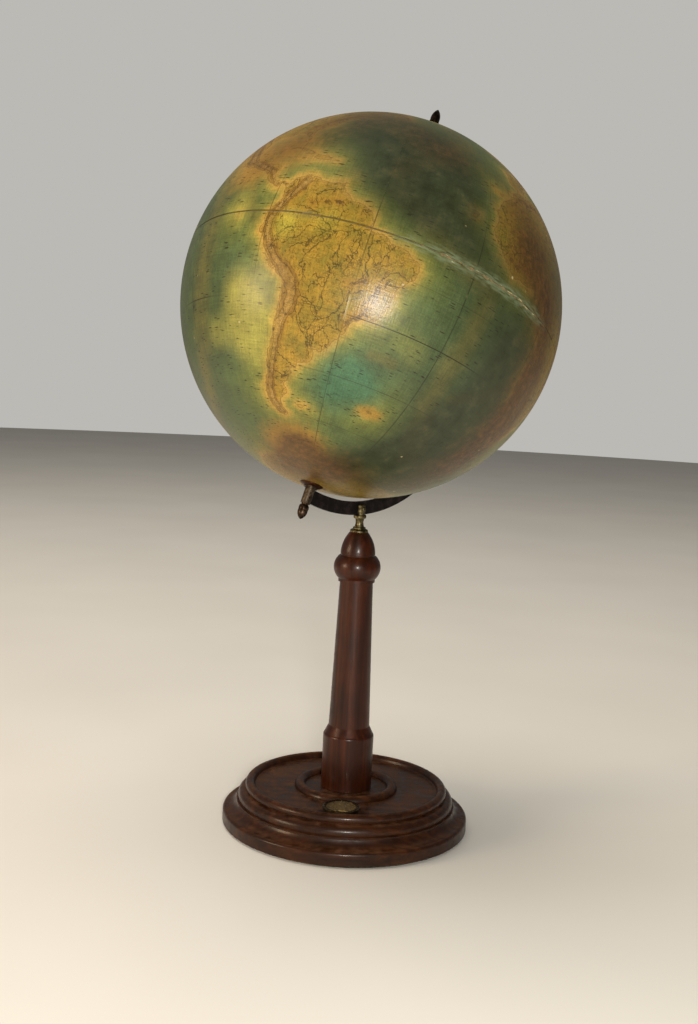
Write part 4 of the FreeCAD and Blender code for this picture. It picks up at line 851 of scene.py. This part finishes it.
def compass_dial():
    """Printed card gone straw yellow: a ring of thirty-two fine divisions and a star of eight points."""
    m = Finish("printed_card_yellowed", specular_ior_level=0.25)
    mm = m.millimetres(centre=compass_centre)
    at = m.add("SeparateXYZ", {0: mm}).node
    away = m.add("VectorMath", {0: m.add("CombineXYZ", {0: at.outputs[0], 1: at.outputs[1]})}, out=1,
                 operation="LENGTH")
    angle = m.add("Math", {0: at.outputs[1], 1: at.outputs[0]}, operation="ARCTAN2")
    card = m.add("TexNoise", {"Vector": mm, "Scale": 1 / 3.0, "Detail": 4.0})
    colour = m.add("ValToRGB", {"Fac": card}, stops=[(0.3, "#d2a95e"), (0.7, "#ebc988")])
    beat = m.add("Math", {0: m.add("Math", {0: angle, 1: 16.0}, operation="MULTIPLY")},
                 operation="COSINE")
    tick = m.add("MapRange", {"Value": beat, "From Min": 0.8, "From Max": 0.95})
    ring = m.add("MapRange", {"Value": m.add("Math", {0: m.add("Math", {0: away, 1: 10.6},
                 operation="SUBTRACT")}, operation="ABSOLUTE"), "From Min": 1.1, "From Max": 0.9})
    star_beat = m.add("Math", {0: m.add("Math", {0: angle, 1: 8.0}, operation="MULTIPLY")},
                      operation="COSINE")
    reach = m.add("MapRange", {"Value": star_beat, "From Min": -1.0, "From Max": 1.0, "To Min": 2.0,
                  "To Max": 8.2})
    star = m.add("MapRange", {"Value": m.add("Math", {0: reach, 1: away}, operation="SUBTRACT"),
                 "From Min": 0.0, "From Max": 0.5, "To Max": 0.6})
    ink = m.add("Math", {0: m.add("Math", {0: tick, 1: ring}, operation="MULTIPLY"), 1: star},
                operation="MAXIMUM")
    colour = m.add("Mix", {0: ink, 6: colour, 7: "#4a3f28"}, out=2, data_type="RGBA")
    bump = m.add("Bump", {"Strength": 0.2, "Distance": 0.0001, "Height": card})
    return m.end(Base_Color=colour, Roughness=0.7, Normal=bump)


def cover_glass():
    """Flat clear window glass with a film of dust: nearly all of it is see-through, with a soft
    reflection and hazy patches."""
    m = Finish("flat_glass_dusty", base="#c9b184", specular_ior_level=0.3)
    dust = m.add("TexNoise", {"Vector": m.millimetres(), "Scale": 1 / 2.5, "Detail": 5.0})
    rough = m.add("MapRange", {"Value": dust, "From Min": 0.35, "From Max": 0.7, "To Min": 0.05,
                  "To Max": 0.3})
    film = m.add("MapRange", {"Value": dust, "From Min": 0.4, "From Max": 0.75, "To Min": 0.05,
                 "To Max": 0.14})
    return m.end(Roughness=rough, Alpha=film)


foot_middle = tuple((foot_low + foot_high) / 2)
finishes = {
    # stained hardwood, faceplate turned with its grain across
    "foot_wood": turned_wood("stained_hardwood_worn_polish", "#1b0c05", "#2d1507", "#45240c", "x",
                             foot_middle, 0),
    # the same wood turned between centres, grain up the column, redder and better polished
    "column_wood": turned_wood("stained_hardwood_french_polish", "#1e0b04", "#331406", "#4d220a", "z",
                               (0, 0, 0), 0),
    # wool baize, felted and sheared: dull dark green nap
    "green_baize": fibrous("wool_baize_felted", "#14301e", "#2c5237", 0.8, 0.95, 0.0003),
    # strawboard pressed in a mould
    "shell_card": fibrous("pressed_strawboard", "#6d5c3e", "#95835c", 1.2, 0.85, 0.0002),
    "block_wood": turned_wood("beech_bare", "#8f6b45", "#b18a5c", "#c9a678", "z", (0, 0, 0), 0),
    "screw_steel": old_metal("mild_steel_dull", "#8c8780", "#6a655e", "#3d362e", 1.0, 0.35, 0.6),
    "axle_steel": old_metal("drawn_steel", "#a09c95", "#7c7770", "#4b443b", 1.0, 0.3, 0.5),
    # cast and turned brass, lacquer long gone
    "aged_brass": old_metal("turned_brass_tarnished", "#837a5c", "#5d543b", "#2a2518", 1.0, 0.36, 0.6),
    # sheet brass blackened in the fire, rubbed through along the edges
    "blackened_brass": old_metal("blackened_sheet_brass", "#352a2a", "#1d1718", "#0e0b0b", 0.8, 0.4,
                                 0.55, 9.0),
    "dull_nickel": old_metal("worn_nickel_plate", "#7a6c5b", "#53483c", "#2a221c", 1.0, 0.36, 0.6),
    "dark_bronze": old_metal("patinated_bronze", "#54443a", "#35291f", "#181210", 1.0, 0.34, 0.55),
    "pole_cap_bronze": old_metal("patinated_bronze_disc", "#5a3522", "#3c2114", "#1f110a", 0.9, 0.35, 0.55),
    "compass_metal": old_metal("spun_nickel_brass", "#7d6a4c", "#5c4c36", "#302719", 1.0, 0.28, 0.5, 2.5),
    "needle_steel": old_metal("blued_steel", "#3d4a6b", "#28324d", "#171c2a", 1.0, 0.22, 0.4, 2.0),
    "compass_paper": compass_dial(),
    "compass_glass": cover_glass(),
    "map_paper": printed_map(),
}
finish_of = {
    "foot_wood": ["foot"],
    "column_wood": ["column"],
    "green_baize": ["foot_felt"],
    "screw_steel": ["column_screw", "column_washer"],
    "aged_brass": ["column_ferrule", "arm_post", "arm_rivet", "bush_north", "bush_south"],
    "blackened_brass": ["meridian_arm"],
    "dull_nickel": ["south_barrel", "north_barrel", "south_washer", "north_washer"],
    "axle_steel": ["axle_rod", "compass_pivot"],
    "dark_bronze": ["south_nut", "north_nut"],
    "pole_cap_bronze": ["pole_cap_north", "pole_cap_south"],
    "shell_card": ["shell_north", "shell_south", "equator_ring"],
    "block_wood": ["pole_block_north", "pole_block_south"],
    "compass_metal": ["compass_case", "compass_bezel", "compass_needle_cup"],
    "compass_paper": ["compass_card"],
    "compass_glass": ["compass_glass"],
    "needle_steel": ["compass_needle"],
    "map_paper": ["gores_north", "gores_south"],
}
for slot, names in finish_of.items():
    for name in names:
        nodes[name].data.materials.clear()
        nodes[name].data.materials.append(finishes[slot])
for piece, _, _ in gores:
    piece.data.materials.append(finishes["map_paper"])


# ---------------------------------------------------------------- floor, light and camera
def floor_disc():
    bm = bmesh.new()
    bmesh.ops.create_circle(bm, cap_ends=True, radius=6.0, segments=96)
    bmesh.ops.translate(bm, vec=(0, 0, cad_box[0][2]), verts=bm.verts[:])
    mesh = bpy.data.meshes.new("studio_floor")
    bm.to_mesh(mesh)
    bm.free()
    floor = bpy.data.objects.new("studio_floor", mesh)
    bpy.context.scene.collection.objects.link(floor)
    matt = Finish("pale_floor_matt")
    tone = matt.add("TexNoise", {"Vector": matt.millimetres(), "Scale": 1 / 300, "Detail": 2.0})
    mesh.materials.append(matt.end(Base_Color=matt.add("ValToRGB", {"Fac": tone}, stops=[
        (0.3, "#dedbd5"), (0.7, "#e3e0da")]), Roughness=0.9))


def soft_light(name, place, aim, size, power, colour, glints=True):
    lamp = bpy.data.lights.new(name, "AREA")
    lamp.shape, lamp.size, lamp.energy, lamp.color = "DISK", size, power, linear(colour)[:3]
    holder = bpy.data.objects.new(name, lamp)
    bpy.context.scene.collection.objects.link(holder)
    holder.location = place
    holder.visible_glossy = glints
    holder.rotation_euler = (Vector(aim) - Vector(place)).to_track_quat("-Z", "Y").to_euler()


floor_disc()
# the main light stands beside the camera; the others only soften the shadows
soft_light("key", (0.07, -1.30, 0.47), globe_centre, 0.14, 12.5, "#fffaf0")
soft_light("overhead", (-0.6, 0.3, 3.2), (0, 0.3, 0.0), 3.0, 78.0, "#fff7ea", glints=False)
soft_light("side", (-1.9, -0.9, 0.7), (0, 0, 0.35), 0.8, 20.0, "#ffe2bd")
world = bpy.data.worlds.new("pale_studio")
world.use_nodes = True
sky = world.node_tree.nodes
# pale all round to look at; the room in front and to the right lights the object less
behind = sky.new("ShaderNodeVectorMath")
behind.operation = "DOT_PRODUCT"
behind.inputs[1].default_value = (-0.55, 0.78, 0.3)
world.node_tree.links.new(sky.new("ShaderNodeTexCoord").outputs["Generated"], behind.inputs[0])
level = sky.new("ShaderNodeMapRange")
for socket, value in (("From Min", -1.0), ("To Min", 0.06), ("To Max", 0.38)):
    level.inputs[socket].default_value = value
world.node_tree.links.new(behind.outputs["Value"], level.inputs["Value"])
seen = sky.new("ShaderNodeMix")
seen.inputs["B"].default_value = 0.82
world.node_tree.links.new(sky.new("ShaderNodeLightPath").outputs["Is Camera Ray"], seen.inputs["Factor"])
world.node_tree.links.new(level.outputs[0], seen.inputs["A"])
world.node_tree.links.new(seen.outputs[0], sky["Background"].inputs["Strength"])
sky["Background"].inputs["Color"].default_value = linear("#cdcbc6")
bpy.context.scene.world = world
bpy.context.scene.view_settings.view_transform = "Standard"

camera_data = bpy.data.cameras.new("front_view")
camera_data.lens, camera_data.sensor_width, camera_data.sensor_fit = 43.945, 36.0, "AUTO"
camera_data.clip_start, camera_data.clip_end = 0.05, 50.0
camera = bpy.data.objects.new("front_view", camera_data)
bpy.context.scene.collection.objects.link(camera)
pitch, yaw, roll = math.radians(6.517), math.radians(-0.51), math.radians(2.942)
ahead = Vector((math.sin(yaw) * math.cos(pitch), math.cos(yaw) * math.cos(pitch), -math.sin(pitch)))
level = Vector((math.cos(yaw), -math.sin(yaw), 0))
upward = level.cross(ahead)
right = math.cos(roll) * level + math.sin(roll) * upward
over = math.cos(roll) * upward - math.sin(roll) * level
camera.matrix_world = Matrix.Translation((0, -1.1054, 0.4114)) @ Matrix((right, over, -ahead)).transposed().to_4x4()
bpy.context.scene.camera = camera
